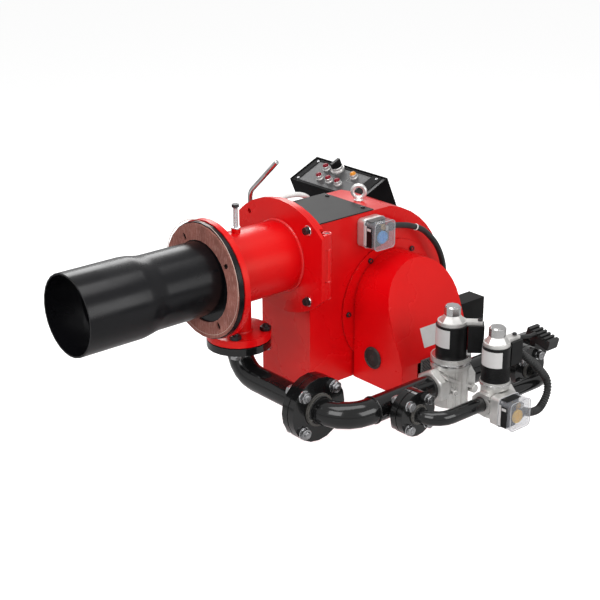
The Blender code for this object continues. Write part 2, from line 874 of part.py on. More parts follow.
def inlet_elbow():
    """Both flanges and the bend between the stub and the train, with the bolts of both."""
    top_face = stub_flange_top - line_flange_thickness - seal_thickness
    low_face = top_face - line_flange_thickness
    train_face = train_flange_front + line_flange_thickness + seal_thickness
    back_face = train_face + line_flange_thickness
    corners = [(stub_x, 0, top_face), (stub_x, 0, train_z), (stub_x, train_face, train_z)]
    route = run_of(corners, stub_bend, bend_steps)
    elbow = rod("inlet_elbow", route, pipe_radius, round_steps, black_paint)
    upper = disc("upper", line_flange_radius, low_face, top_face, "Z", (stub_x, 0), round_steps, black_paint)
    upper_hub = disc("hub", line_hub_radius, low_face - line_hub_length, low_face + sink, "Z",
                     (stub_x, 0), round_steps, black_paint)
    lower = disc("lower", line_flange_radius, train_face, back_face, "Y", (stub_x, train_z),
                 round_steps, black_paint)
    lower_hub = disc("hub", line_hub_radius, back_face - sink, back_face + line_hub_length, "Y",
                     (stub_x, train_z), round_steps, black_paint)
    add(elbow, upper, upper_hub, lower, lower_hub)
    bored(elbow, route, pipe_radius - pipe_wall, round_steps)
    for place in bolt_places(line_bolt_circle, bolt_count, bolt_turn, (stub_x, 0)):
        add(elbow, fastener("bolt", "Z", place, low_face - bolt_head_height, low_face + sink,
                            stub_flange_top + gap, line_bolt_radius, line_bolt_across, black_paint))
    for place in bolt_places(line_bolt_circle, bolt_count, bolt_turn, (stub_x, train_z)):
        add(elbow, fastener("bolt", "Y", place, back_face + bolt_head_height, back_face - sink,
                            train_flange_front - gap, line_bolt_radius, line_bolt_across, black_paint))
    return elbow


def branch_stub(x):
    """The short branch towards the start-gas line, with its flange, as one tool."""
    back = branch_flange_front + 2 * branch_flange_thickness + seal_thickness
    face = back - branch_flange_thickness
    neck = disc("neck", branch_radius, face + sink, train_y, "Y", (x, train_z), small_steps, black_paint)
    flange = disc("flange", branch_flange_radius, face, back, "Y", (x, train_z), round_steps, black_paint)
    return neck, flange, face


def cut_branch(pipe, x, face):
    """The bore of the branch and the holes of its flange."""
    cut(pipe, disc("bore", branch_radius - branch_wall, face - overrun, train_y, "Y", (x, train_z),
                   small_steps, black_paint))
    for place in bolt_places(branch_bolt_circle, bolt_count, bolt_turn, (x, train_z)):
        cut(pipe, disc("hole", branch_bolt_radius + slip, face - overrun,
                       face + branch_flange_thickness + overrun, "Y", place, bolt_steps, black_paint))


def main_pipe():
    """Flange, bend and straight pipe to the main valve, with the branch for the start gas."""
    back_face = train_flange_front + line_flange_thickness
    end = valve_x - main_port_reach + port_socket_depth - gap
    corners = [(stub_x, back_face, train_z), (stub_x, train_y, train_z), (end, train_y, train_z)]
    route = run_of(corners, pipe_bend, bend_steps)
    pipe = rod("main_pipe", route, pipe_radius, round_steps, black_paint)
    flange = disc("flange", line_flange_radius, train_flange_front, back_face, "Y", (stub_x, train_z),
                  round_steps, black_paint)
    hub = disc("hub", line_hub_radius, train_flange_front - line_hub_length, train_flange_front + sink,
               "Y", (stub_x, train_z), round_steps, black_paint)
    weld = disc("weld", pipe_radius + weld_ring_height, weld_ring_x, weld_ring_x + weld_width, "X",
                (train_y, train_z), round_steps, black_paint)
    neck, branch_flange, face = branch_stub(branch_left_x)
    add(pipe, flange, hub, weld, neck, branch_flange)
    bored(pipe, route, pipe_radius - pipe_wall, round_steps)
    cut_branch(pipe, branch_left_x, face)
    for place in bolt_places(line_bolt_circle, bolt_count, bolt_turn, (stub_x, train_z)):
        cut(pipe, disc("hole", line_bolt_radius + slip, train_flange_front - line_hub_length - overrun,
                       back_face + overrun, "Y", place, bolt_steps, black_paint))
    return pipe


def supply_pipe():
    """From the inlet collar to the main valve, with the second branch for the start gas."""
    start = valve_x + main_port_reach - port_socket_depth + gap
    route = [Vector((start, train_y, train_z)), Vector((inlet_x, train_y, train_z))]
    pipe = rod("supply_pipe", route, pipe_radius, round_steps, black_paint)
    collar = prism("collar", circle(inlet_collar_radius, port_sides, (train_y, train_z)),
                   inlet_x - inlet_collar_length, inlet_x, "X", black_paint)
    neck, branch_flange, face = branch_stub(branch_right_x)
    add(pipe, collar, neck, branch_flange)
    bored(pipe, route, pipe_radius - pipe_wall, round_steps)
    cut_branch(pipe, branch_right_x, face)
    return pipe


def start_gas_pipe(name, flange_x, end_x):
    """A flange and bend that lead the start gas past the main valve."""
    face = branch_flange_front + branch_flange_thickness
    nut_face = face + seal_thickness + branch_flange_thickness
    corners = [(flange_x, face, train_z), (flange_x, pilot_y, train_z), (end_x, pilot_y, train_z)]
    route = run_of(corners, branch_bend, bend_steps)
    pipe = rod(name, route, branch_radius, small_steps, black_paint)
    flange = disc("flange", branch_flange_radius, branch_flange_front, face, "Y", (flange_x, train_z),
                  round_steps, black_paint)
    hub = disc("hub", branch_hub_radius, branch_flange_front - line_hub_length,
               branch_flange_front + sink, "Y", (flange_x, train_z), small_steps, black_paint)
    add(pipe, flange, hub)
    bored(pipe, route, branch_radius - branch_wall, small_steps)
    for place in bolt_places(branch_bolt_circle, bolt_count, bolt_turn, (flange_x, train_z)):
        add(pipe, fastener("bolt", "Y", place, branch_flange_front - bolt_head_height,
                           branch_flange_front + sink, nut_face + gap, branch_bolt_radius,
                           branch_bolt_across, black_paint))
    return pipe


def oblong(inner, outer, width):
    """The corners of a rectangle from an inner to an outer distance along one line."""
    return [(inner, -width / 2), (outer, -width / 2), (outer, width / 2), (inner, width / 2)]


def valve(prefix, y, bottom, top, body_radius, port_reach, port_across, socket_radius, ring_radius,
          ring_height, coil_radius, coil_height, plate_radius, plug_height, plug_turn):
    """A solenoid valve: cast body with its ring, coil, top plate with its ear, plug and cap."""
    centre = (valve_x, y)
    body = disc(prefix + "_body", body_radius, bottom, top, "Z", centre, round_steps, cast_aluminium)
    port_radius = port_across / 2 / math.cos(math.pi / port_sides)
    turn = math.pi / port_sides
    ports = prism("ports", circle(port_radius, port_sides, (y, train_z), turn), valve_x - port_reach,
                  valve_x + port_reach, "X", cast_aluminium)
    cap = disc("bottom_cap", body_radius * bottom_cap_radius_share, bottom - bottom_cap_height,
               bottom + sink, "Z", centre, round_steps, cast_aluminium)
    rib_low = (valve_x + body_radius, train_z - port_across / 4)
    rib_high = (valve_x - port_reach, train_z + port_across / 2)
    rib = [rib_low, rib_high, (rib_high[0], rib_high[1] - valve_rib_thickness),
           (rib_low[0], rib_low[1] - valve_rib_thickness)]
    rib_reach = y - port_across / 2
    web = prism("rib", rib, rib_reach - valve_rib_depth, y, "Y", cast_aluminium)
    add(body, ports, cap, web)
    for side in (-1, 1):
        mouth = valve_x + side * (port_reach + overrun)
        floor = valve_x + side * (port_reach - port_socket_depth)
        cut(body, disc("socket", socket_radius + slip, min(mouth, floor), max(mouth, floor), "X",
                       (y, train_z), round_steps, cast_aluminium))
    passage = socket_radius - pipe_wall * 2
    cut(body, disc("passage", passage, valve_x - port_reach, valve_x + port_reach, "X", (y, train_z),
                   small_steps, cast_aluminium))
    ring_top = top + gap + ring_height
    ring = disc("ring", ring_radius, top - sink, ring_top, "Z", centre, round_steps, cast_aluminium)
    coil_low = ring_top + gap
    coil_top = coil_low + coil_height
    coil = washer(prefix + "_coil", coil_radius, valve_core_radius + slip, coil_low, coil_top, "Z",
                  centre, round_steps, coil_black)
    plate_low = coil_top + gap
    plate_top = plate_low + valve_plate_thickness
    plate = disc(prefix + "_top_plate", plate_radius, plate_low, plate_top, "Z", centre, round_steps,
                 cast_aluminium)
    ear_outline = oblong(0, plate_radius + valve_ear_reach, valve_ear_width)
    ear = prism("ear", tilted(ear_outline, plug_turn, centre), plate_low, plate_top, "Z", cast_aluminium)
    skirt_rings = [(circle(plate_radius - sink, valve_cap_sides, centre), plate_top - sink),
                   (circle(valve_cap_radius, valve_cap_sides, centre), plate_top + valve_skirt_height)]
    skirt = lofted("skirt", skirt_rings, "Z", cast_aluminium)
    core = disc("core", valve_core_radius, ring_top - sink, plate_low - gap, "Z", centre, small_steps,
                cast_aluminium)
    add(plate, ear, skirt)
    add(body, ring, core)
    cut(plate, disc("stem_hole", valve_stem_radius + slip, plate_top, plate_top + valve_skirt_height + overrun,
                    "Z", centre, small_steps, cast_aluminium))
    plug_low = coil_top - plug_height
    plug_inner = coil_radius + gap
    plug_outline = oblong(plug_inner, plug_inner + valve_plug_depth, valve_plug_width)
    prism(prefix + "_plug", tilted(plug_outline, plug_turn, centre), plug_low, coil_top, "Z", coil_black)
    cap_low = plate_top + valve_skirt_height + gap
    cap_top = cap_low + valve_cap_height
    outline = circle(valve_cap_radius, valve_cap_sides, centre)
    small = circle(valve_cap_radius - valve_cap_bevel, valve_cap_sides, centre)
    knob = lofted(prefix + "_cap", [(outline, cap_low), (outline, cap_top - valve_cap_bevel),
                                    (small, cap_top)], "Z", cast_aluminium)
    stem = disc("stem", valve_stem_radius, plate_top + gap, cap_low + sink, "Z", centre, small_steps,
                cast_aluminium)
    add(knob, stem)
    origin_at(knob, (valve_x, y, cap_low))
    return body


def scroll_point(angle, inset):
    """A point of the scroll's wall, its radius growing from below the fan round to the top."""
    share = max(0, (angle + math.pi / 2) / math.pi)
    grown = (scroll_top_radius - scroll_bottom_radius) * share ** scroll_growth_power
    radius = scroll_bottom_radius + grown - inset
    return (scroll_x + radius * math.cos(angle), scroll_z + radius * math.sin(angle))


def housing_outline(inset):
    """Front wall, flat top and the scroll behind, drawn in X and Z."""
    points = [(housing_front + inset, housing_bottom + inset), (housing_front + inset, housing_top - inset)]
    for index in range(scroll_points + 1):
        angle = math.pi / 2 - math.pi * index / scroll_points
        points.append(scroll_point(angle, inset))
    return points


def fan_housing():
    """The sheet-metal fan housing with its flange, hinge knuckles and openings."""
    housing = prism("fan_housing", housing_outline(0), -housing_near, housing_far, "Y", red_paint)
    hollow = prism("hollow", housing_outline(housing_wall), -housing_near + housing_wall,
                   housing_far - housing_wall, "Y", red_paint)
    flange_side = hinge_side - hinge_radius - 2 * sink
    flange = prism("flange", plate_outline(housing_flange_inset, flange_side), housing_flange_front,
                   housing_flange_back, "X", red_paint)
    cut(housing, hollow)
    add(housing, flange)
    low = hinge_lower_joint + hinge_joint_gap / 2
    high = hinge_upper_joint - hinge_joint_gap / 2
    leaf = box("leaf", (housing_flange_back - hinge_leaf / 2, -hinge_side, low),
               (housing_flange_back + hinge_leaf / 2, overrun - flange_side, high), red_paint)
    add(housing, add(knuckle("knuckle", -1, low, high, red_paint), leaf))
    cut(housing, hinge_bores(-1, low, high))
    opening = disc("outlet", air_outlet_radius, housing_flange_front - overrun,
                   housing_front + housing_wall + overrun, "X", (0, 0), large_steps, red_paint)
    near_hole = disc("near_hole", fan_opening_radius, -housing_near - overrun,
                     -housing_near + housing_wall + overrun, "Y", (scroll_x, scroll_z), large_steps, red_paint)
    far_hole = disc("far_hole", fan_opening_radius, housing_far - housing_wall - overrun,
                    housing_far + overrun, "Y", (scroll_x, scroll_z), large_steps, red_paint)
    cut(housing, opening, near_hole, far_hole)
    cut(housing, disc("eye_hole", pin_radius + slip, housing_top - housing_wall - overrun,
                      housing_top + overrun, "Z", (eye_x, 0), small_steps, red_paint))
    return housing


def inlet_ring():
    """The cover of the fan opening, with the fan's inlet cone and its six screws."""
    back = -housing_near - gap
    front = back - ring_thickness
    lip = -housing_near + ring_eye_lip
    profile = [(ring_eye_radius, lip), (ring_eye_radius + ring_thickness / 2, lip),
               (ring_eye_radius + ring_thickness, back + sink), (ring_eye_radius + 2 * ring_thickness, back),
               (ring_radius, back), (ring_radius, front), (ring_eye_radius + ring_thickness, front),
               (ring_eye_radius, front + sink)]
    ring = turned("inlet_ring", profile, "Y", (scroll_x, scroll_z), large_steps, red_paint)
    for place in bolt_places(ring_screw_circle, ring_screw_count, 0, (scroll_x, scroll_z)):
        add(ring, disc("screw", ring_screw_radius, front - ring_screw_height, front + sink, "Y", place,
                       bolt_steps, bolt_black))
    return ring


def blade_outline(angle):
    """A curved blade between the wheel's inner and outer radius, drawn in X and Z."""
    outer_side = []
    inner_side = []
    for index in range(blade_points + 1):
        share = index / blade_points
        radius = wheel_inner_radius + (wheel_radius - wheel_inner_radius) * share
        turn = angle + blade_turn * share * share * (wheel_radius - wheel_inner_radius) / wheel_radius
        half = blade_thickness / 2 / radius
        for sign, side in ((1, outer_side), (-1, inner_side)):
            side.append((scroll_x + radius * math.cos(turn + sign * half),
                         scroll_z + radius * math.sin(turn + sign * half)))
    return outer_side + inner_side[::-1]


def fan_wheel():
    """A radial fan wheel: back disc with its hub, curved blades and a front ring."""
    centre = (scroll_x, scroll_z)
    disc_front = wheel_back_y - wheel_disc_thickness
    profile = [(shaft_radius + slip, wheel_back_y), (wheel_radius, wheel_back_y), (wheel_radius, disc_front),
               (wheel_hub_radius, disc_front), (wheel_hub_radius, wheel_back_y - wheel_hub_length),
               (shaft_radius + slip, wheel_back_y - wheel_hub_length)]
    wheel = turned("fan_wheel", profile, "Y", centre, large_steps, steel)
    ring = washer("ring", wheel_radius, wheel_radius - wheel_ring_width, wheel_front_y,
                  wheel_front_y + wheel_disc_thickness, "Y", centre, large_steps, steel)
    work = bmesh.new()
    for number in range(blade_count):
        outline = blade_outline(math.tau * number / blade_count)
        rows = []
        for height in (wheel_front_y + sink, disc_front + sink):
            rows.append([work.verts.new(to_world("Y", u, v, height)) for u, v in outline])
        for index in range(len(outline)):
            after = (index + 1) % len(outline)
            work.faces.new((rows[0][index], rows[0][after], rows[1][after], rows[1][index]))
        work.faces.new(rows[0])
        work.faces.new(rows[1])
    blades = finish("blades", work, steel)
    add(wheel, blades, ring)
    return origin_at(wheel, (scroll_x, wheel_back_y, scroll_z))


def motor_shaft():
    """The motor's shaft, which turns with the fan wheel."""
    low = wheel_back_y - wheel_hub_length
    high = housing_far + motor_plate_thickness + motor_neck_length
    shaft = disc("motor_shaft", shaft_radius, low, high, "Y", (scroll_x, scroll_z), small_steps, steel)
    return origin_at(shaft, (scroll_x, low, scroll_z))


def fan_motor():
    """The motor on its round plate, with fins, a cowl and a terminal box."""
    centre = (scroll_x, scroll_z)
    base = housing_far + gap
    plate_end = base + motor_plate_thickness
    neck_end = plate_end + motor_neck_length
    body_end = neck_end + motor_length
    cowl_end = body_end + motor_cowl_length
    bore = shaft_radius + slip
    profile = [(bore, base), (ring_radius, base), (ring_radius, plate_end), (motor_neck_radius, plate_end),
               (motor_neck_radius, neck_end), (motor_radius - motor_fin_height, neck_end),
               (motor_radius - motor_fin_height, body_end), (motor_cowl_radius, body_end),
               (motor_cowl_radius, cowl_end - motor_fin_height),
               (motor_cowl_radius - motor_fin_height, cowl_end), (0, cowl_end)]
    profile = [(0, neck_end + sink), (bore, neck_end + sink)] + profile
    motor = turned("fan_motor", profile, "Y", centre, large_steps, motor_grey)
    work = bmesh.new()
    for number in range(motor_fin_count):
        angle = math.tau * number / motor_fin_count
        along = Vector((math.cos(angle), math.sin(angle)))
        across = Vector((-along.y, along.x)) * motor_fin_width / 2
        inner = Vector(centre) + along * (motor_radius - motor_fin_height - sink * 2)
        outer = Vector(centre) + along * motor_radius
        outline = [inner - across, outer - across, outer + across, inner + across]
        rows = []
        for height in (neck_end + sink, body_end + sink):
            rows.append([work.verts.new(to_world("Y", u, v, height)) for u, v in outline])
        for index in range(len(outline)):
            after = (index + 1) % len(outline)
            work.faces.new((rows[0][index], rows[0][after], rows[1][after], rows[1][index]))
        work.faces.new(rows[0])
        work.faces.new(rows[1])
    fins = finish("fins", work, motor_grey)
    add(motor, fins)
    return motor


def terminal_box():
    """The motor's terminal box, which stands on a saddle over the fins."""
    low = scroll_z + motor_radius + gap
    terminal = box("terminal_box", (scroll_x - terminal_half_width, terminal_y - terminal_half_length, low),
                   (scroll_x + terminal_half_width, terminal_y + terminal_half_length, terminal_top), motor_grey)
    lid = box("lid", (scroll_x - terminal_half_width - terminal_lid / 2,
                      terminal_y - terminal_half_length - terminal_lid / 2, terminal_top - sink),
              (scroll_x + terminal_half_width + terminal_lid / 2,
               terminal_y + terminal_half_length + terminal_lid / 2, terminal_top + terminal_lid), motor_grey)
    return add(terminal, lid)


def hood_outline(inset, bottom):
    """Half a circle above two upright sides, drawn in X and Z."""
    radius = hood_radius - inset
    points = []
    for index in range(hood_arc_points + 1):
        angle = math.pi * index / hood_arc_points
        points.append((hood_x + radius * math.cos(angle), hood_centre_z + radius * math.sin(angle)))
    points += [(hood_x - radius, bottom), (hood_x + radius, bottom)]
    return points


def hood_solid(name, inset, bottom, root):
    """The hood's outline extruded towards the viewer and cut off along the leaning face."""
    work = bmesh.new()
    rows = []
    for height in (root, -hood_front + inset):
        rows.append([work.verts.new(to_world("Y", u, v, height)) for u, v in hood_outline(inset, bottom)])
    count = len(rows[0])
    for index in range(count):
        after = (index + 1) % count
        work.faces.new((rows[0][index], rows[0][after], rows[1][after], rows[1][index]))
    work.faces.new(rows[0])
    work.faces.new(rows[1])
    normal = Vector((0, -1, hood_face_slope)).normalized()
    fold = Vector((hood_x, -hood_front, hood_fold_z)) - normal * inset
    geometry = work.verts[:] + work.edges[:] + work.faces[:]
    bmesh.ops.bisect_plane(work, geom=geometry, plane_co=fold, plane_no=normal, clear_outer=True)
    open_edges = [edge for edge in work.edges if edge.is_boundary]
    bmesh.ops.contextual_create(work, geom=open_edges)
    return finish(name, work, red_paint)


def intake_hood():
    """The hood over the fan's inlet, open towards it, with its grille opening and holes."""
    root = -housing_near - ring_thickness - 2 * gap
    hood = hood_solid("intake_hood", 0, housing_bottom, root)
    hollow = hood_solid("hollow", hood_wall, housing_bottom + hood_wall, root + overrun)
    cut(hood, hollow)
    add(hood, hood_baffle())
    left, right, low, high = grille_window()
    window = box("window", (left, -hood_front - overrun, low), (right, -hood_front + 2 * hood_wall + overrun, high),
                 red_paint)
    shaft_hole = disc("shaft_hole", damper_shaft_radius + slip, hood_x + hood_radius - hood_wall - overrun,
                      hood_x + hood_radius + overrun, "X", (damper_y, damper_z), small_steps, red_paint)
    plug_hole = disc("plug_hole", plug_hole_radius, hood_x - hood_radius - overrun,
                     hood_x - hood_radius + hood_wall + overrun, "X", (plug_y, plug_z), round_steps, red_paint)
    cut(hood, window, shaft_hole, plug_hole)
    return hood


def hood_baffle():
    """The wall across the hood's inside whose window the damper closes."""
    half = hood_wall / 2
    baffle = box("baffle", (hood_x - hood_radius, damper_y - half, housing_bottom),
                 (hood_x + hood_radius, damper_y + half, hood_centre_z + hood_radius), red_paint)
    combine(baffle, [hood_solid("limit", half, housing_bottom + half, -housing_near)], "INTERSECT")
    reach = hood_radius - hood_wall - damper_window_margin
    height = damper_half_height + damper_clearance
    window = box("window", (hood_x - reach, damper_y - overrun, damper_z - height),
                 (hood_x + reach, damper_y + overrun, damper_z + height), red_paint)
    notch = disc("notch", damper_shaft_radius + slip, hood_x + reach - overrun, hood_x + hood_radius + overrun,
                 "X", (damper_y, damper_z), small_steps, red_paint)
    return cut(baffle, window, notch)


def grille_window():
    """The opening in the hood's upright face, in X and Z."""
    left = hood_x - hood_radius + hood_grille_margin
    right = hood_x + hood_radius - hood_grille_margin
    low = housing_bottom + hood_grille_bottom_margin
    high = hood_fold_z - hood_wall
    return left, right, low, high


def intake_grille():
    """A flat slotted grille behind the hood's opening, clamped to the inside of its face."""
    left, right, low, high = grille_window()
    back = -hood_front + hood_wall + gap
    grille = box("intake_grille", (left - grille_frame, back, low - grille_frame),
                 (right + grille_frame, back + grille_thickness, high), black_paint)
    pitch = (right - left) / grille_slot_count
    for number in range(grille_slot_count):
        start = left + pitch * (number + grille_bar_share / 2)
        cut(grille, box("slot", (start, back - overrun, low + grille_frame / 2),
                        (start + pitch * (1 - grille_bar_share), back + grille_thickness + overrun,
                         high - grille_frame / 2), black_paint))
    return grille


def hood_plug():
    """The rubber plug in the hood's side."""
    face = hood_x - hood_radius
    profile = [(0, face + plug_depth), (plug_neck_radius, face + plug_depth), (plug_neck_radius, face - gap),
               (plug_radius, face - gap), (plug_radius, face - plug_rim / 2), (plug_radius - plug_rim, face - plug_rim),
               (0, face - plug_rim)]
    return turned("hood_plug", profile, "X", (plug_y, plug_z), round_steps, seal_black)


def air_damper():
    """The flap in the hood with its shaft, which the servomotor turns."""
    reach = hood_radius - hood_wall - damper_window_margin - damper_clearance
    blade = box("air_damper", (hood_x - reach, damper_y - damper_thickness / 2, damper_z - damper_half_height),
                (hood_x + reach, damper_y + damper_thickness / 2, damper_z + damper_half_height), steel)
    shaft = disc("shaft", damper_shaft_radius, hood_x - reach, hood_x + hood_radius + damper_stub, "X",
                 (damper_y, damper_z), small_steps, steel)
    add(blade, shaft)
    return origin_at(blade, (hood_x, damper_y, damper_z))


def servomotor():
    """The damper's servomotor on the side of the hood."""
    side = hood_x + hood_radius + gap
    servo = box("servomotor", (side, -servo_near, servo_bottom), (side + servo_length, -servo_far, servo_top),
                coil_black)
    cut(servo, disc("socket", damper_shaft_radius + slip, side - overrun, side + damper_stub + slip, "X",
                    (damper_y, damper_z), small_steps, coil_black))
    return servo


def top_cover():
    """The black cover over the housing's flat top, with its screws."""
    low = housing_top + gap
    cover = box("top_cover", (cover_front, -housing_near + cover_margin, low),
                (cover_back, housing_far - cover_margin, low + cover_thickness), dark_grey)
    for x in (cover_front + cover_screw_inset, cover_back - cover_screw_inset):
        for y in (-housing_near + 2 * cover_screw_inset, housing_far - 2 * cover_screw_inset):
            add(cover, disc("screw", cover_screw_radius, low + cover_thickness - sink,
                            low + cover_thickness + cover_screw_height, "Z", (x, y), bolt_steps, dark_grey))
    return cover


def eye_bolt():
    """The lifting eye on the housing's top."""
    base = housing_top + gap
    foot_top = base + eye_foot_height
    profile = [(0, base - housing_wall), (pin_radius, base - housing_wall), (pin_radius, base),
               (eye_foot_radius, base), (eye_foot_radius, foot_top - sink), (eye_foot_radius - sink, foot_top),
               (0, foot_top)]
    foot = turned("eye_bolt", profile, "Z", (eye_x, 0), small_steps, chrome)
    centre = Vector((eye_x, 0, foot_top + eye_ring_radius + eye_wire_radius - sink))
    along = Vector((math.cos(eye_turn), -math.sin(eye_turn), 0))
    route = []
    for index in range(round_steps):
        angle = math.tau * index / round_steps
        route.append(centre + along * eye_ring_radius * math.cos(angle)
                     + Vector((0, 0, eye_ring_radius * math.sin(angle))))
    ring = closed_ring("ring", route, centre, eye_wire_radius, bolt_steps, chrome)
    return add(foot, ring)


def closed_ring(name, route, centre, radius, steps, material):
    """A round bar bent into a closed ring about a centre."""
    work = bmesh.new()
    normal = (route[0] - centre).cross(route[1] - centre).normalized()
    rows = []
    for point in route:
        out = (point - centre).normalized()
        rows.append([work.verts.new(point + out * u + normal * v) for u, v in circle(radius, steps)])
    for index, lower in enumerate(rows):
        upper = rows[(index + 1) % len(rows)]
        for step in range(steps):
            after = (step + 1) % steps
            work.faces.new((lower[step], lower[after], upper[after], upper[step]))
    return finish(name, work, material)


def console_point(along, height):
    """A point of the console's tilted frame in X and Z, from its rear top edge."""
    cosine = math.cos(console_tilt)
    sine = math.sin(console_tilt)
    return (console_back_x - along * cosine - height * sine, console_back_z - along * sine + height * cosine)


def console_prism(name, along_low, along_high, low, high, near, far, material):
    """A block in the console's tilted frame."""
    outline = [console_point(along_low, low), console_point(along_high, low),
               console_point(along_high, high), console_point(along_low, high)]
    return prism(name, outline, near, far, "Y", material)


def console_turned(name, profile, along, y, steps, material):
    """A turned piece standing on the console's tilted face."""
    foot_x, foot_z = console_point(along, 0)
    foot = Vector((foot_x, y, foot_z))
    up = Vector((-math.sin(console_tilt), 0, math.cos(console_tilt)))
    side = Vector((0, 1, 0))
    ahead = up.cross(side)
    made = turned(name, profile, "Z", (0, 0), steps, material)
    for vertex in made.data.vertices:
        local = vertex.co.copy()
        vertex.co = foot + side * local.x + ahead * local.y + up * local.z
    return made


def console_box():
    """The sheet-metal console, with a recessed face and its wiring space."""
    near = housing_far + gap
    outline = [console_point(0, 0), console_point(console_depth, 0),
               console_point(console_depth, -console_front_height), console_point(0, -console_back_height)]
    shell = prism("console_box", outline, near, console_far, "Y", black_paint)
    wall = console_wall
    inside = [console_point(wall, overrun), console_point(console_depth - wall, overrun),
              console_point(console_depth - wall, wall - console_front_height),
              console_point(wall, wall * 2 - console_back_height)]
    cut(shell, prism("inside", inside, near + wall, console_far - wall, "Y", black_paint))
    rim_low = console_plate_sink + console_plate_thickness + gap
    lip = console_prism("lip", wall / 2, console_depth - wall / 2, -rim_low - wall, -rim_low,
                        near + wall / 2, console_far - wall / 2, black_paint)
    hole = console_prism("hole", console_plate_front, console_depth - console_plate_front,
                         -rim_low - wall - overrun, -rim_low + overrun, near + console_plate_side,
                         console_far - console_plate_side, black_paint)
    cut(lip, hole)
    add(shell, lip)
    return shell


def console_plate():
    """The dark face plate that carries the lamps and the switch."""
    near = housing_far + gap
    inset = console_wall + slip
    plate = console_prism("console_plate", inset, console_depth - inset,
                          -console_plate_sink - console_plate_thickness, -console_plate_sink, near + inset,
                          console_far - inset, dark_grey)
    for along, y, _ in lamp_places():
        cut(plate, console_turned("hole", hole_profile(lamp_stem_radius + slip), along, y, small_steps, dark_grey))
    cut(plate, console_turned("hole", hole_profile(lamp_stem_radius + slip), selector_along, selector_y,
                              small_steps, dark_grey))
    return plate


def hole_profile(radius):
    """A cutter through the console's plate."""
    low = -console_plate_sink - console_plate_thickness - overrun
    return [(0, low), (radius, low), (radius, 0), (0, 0)]


def lamp_places():
    """Where the lamps stand on the console: along the tilt, across, and their colour."""
    spots = [(lamp_back_row, lamp_first_y, "red")]
    for number in range(lamp_front_count):
        spots.append((lamp_front_row, lamp_front_y - number * lamp_pitch, "red"))
    spots.append((lamp_back_row, lamp_last_y, "orange"))
    return spots


def signal_lamp(number, along, y, colour):
    """One signal lamp: stem through the plate, chromed bezel and coloured lens as one."""
    face = -console_plate_sink + gap
    lens = lamp_red if colour == "red" else lamp_orange
    profile = [(0, face - lamp_stem_length), (lamp_stem_radius, face - lamp_stem_length),
               (lamp_stem_radius, face), (lamp_bezel_radius, face), (lamp_bezel_radius, face + lamp_bezel_height / 2),
               (lamp_radius, face + lamp_bezel_height), (lamp_radius, face + lamp_bezel_height + lamp_lens_height / 2),
               (lamp_radius / 2, face + lamp_bezel_height + lamp_lens_height),
               (0, face + lamp_bezel_height + lamp_lens_height)]
    return console_turned("signal_lamp_%d" % number, profile, along, y, small_steps, lens)


def selector_bezel():
    """The silver ring under the selector switch, with its bush through the plate."""
    face = -console_plate_sink + gap
    inner = screw_radius + slip
    profile = [(inner, face - lamp_stem_length), (lamp_stem_radius, face - lamp_stem_length),
               (lamp_stem_radius, face), (selector_bezel_radius, face),
               (selector_bezel_radius, face + selector_bezel_height / 2),
               (selector_bezel_radius - sink, face + selector_bezel_height), (inner, face + selector_bezel_height)]
    return console_turned("selector_bezel", profile, selector_along, selector_y, round_steps, chrome)


def selector_knob():
    """The selector switch: a round base with a raised grip, on a short spindle."""
    base = -console_plate_sink + selector_bezel_height + 2 * gap
    profile = [(0, base - selector_bezel_height), (screw_radius, base - selector_bezel_height), (screw_radius, base),
               (selector_radius, base), (selector_radius, base + selector_height), (0, base + selector_height)]
    knob = console_turned("selector_knob", profile, selector_along, selector_y, round_steps, coil_black)
    grip = console_prism("grip", selector_along - selector_grip_length / 2, selector_along + selector_grip_length / 2,
                         base + selector_height - sink, base + selector_height + selector_grip_height,
                         selector_y - selector_grip_width / 2, selector_y + selector_grip_width / 2, coil_black)
    add(knob, grip)
    foot_x, foot_z = console_point(selector_along, base)
    return origin_at(knob, (foot_x, selector_y, foot_z))


def pressure_switch(prefix, x, z, seat, dial_material):
    """A pressure switch that faces -Y: aluminium base, clear cover and setting dial."""
    outline = round_rectangle(switch_width, switch_height, switch_corner, switch_corner_points, (x, z))
    back = seat - gap
    split = back - switch_base_depth
    base = prism(prefix + "_base", outline, split, back, "Y", cast_aluminium)
    dial_z = z - switch_height / 10
    post_end = split - switch_post_height
    add(base, disc("post", switch_post_radius, post_end, split + sink, "Y", (x, dial_z), small_steps, cast_aluminium))
    front = split - gap - switch_cover_depth
    wall = switch_cover_wall
    inner = round_rectangle(switch_width - 2 * wall, switch_height - 2 * wall, switch_corner - wall,
                            switch_corner_points, (x, z))
    cover = prism(prefix + "_cover", outline, front, split - gap, "Y", clear_plastic)
    cut(cover, prism("inside", inner, front + wall, split + overrun, "Y", clear_plastic))
    dial_back = post_end - gap
    dial = disc(prefix + "_dial", switch_dial_radius, dial_back - switch_dial_height, dial_back, "Y",
                (x, dial_z), round_steps, dial_material)
    origin_at(dial, (x, dial_back, dial_z))
    return base, cover, dial


def smooth_route(points, spacing):
    """Points along a smooth curve through a few hand-chosen ones, about a spacing apart."""
    spots = [Vector(point) for point in points]
    padded = [2 * spots[0] - spots[1]] + spots + [2 * spots[-1] - spots[-2]]
    route = [spots[0]]
    for first, start, end, last in zip(padded, padded[1:], padded[2:], padded[3:]):
        pieces = max(1, round((end - start).length / spacing))
        for index in range(1, pieces + 1):
            share = index / pieces
            square = share * share
            cube = square * share
            point = 2 * start + (end - first) * share + (2 * first - 5 * start + 4 * end - last) * square
            point = (point + (3 * start - first - 3 * end + last) * cube) / 2
            route.append(point)
    return route


def cable(name, points, radius, material):
    """A cable or conduit that is held at both ends, along its own route."""
    route = smooth_route(points, 2 * radius * curve_spacing_diameters)
    return rod(name, route, radius, bolt_steps, material)


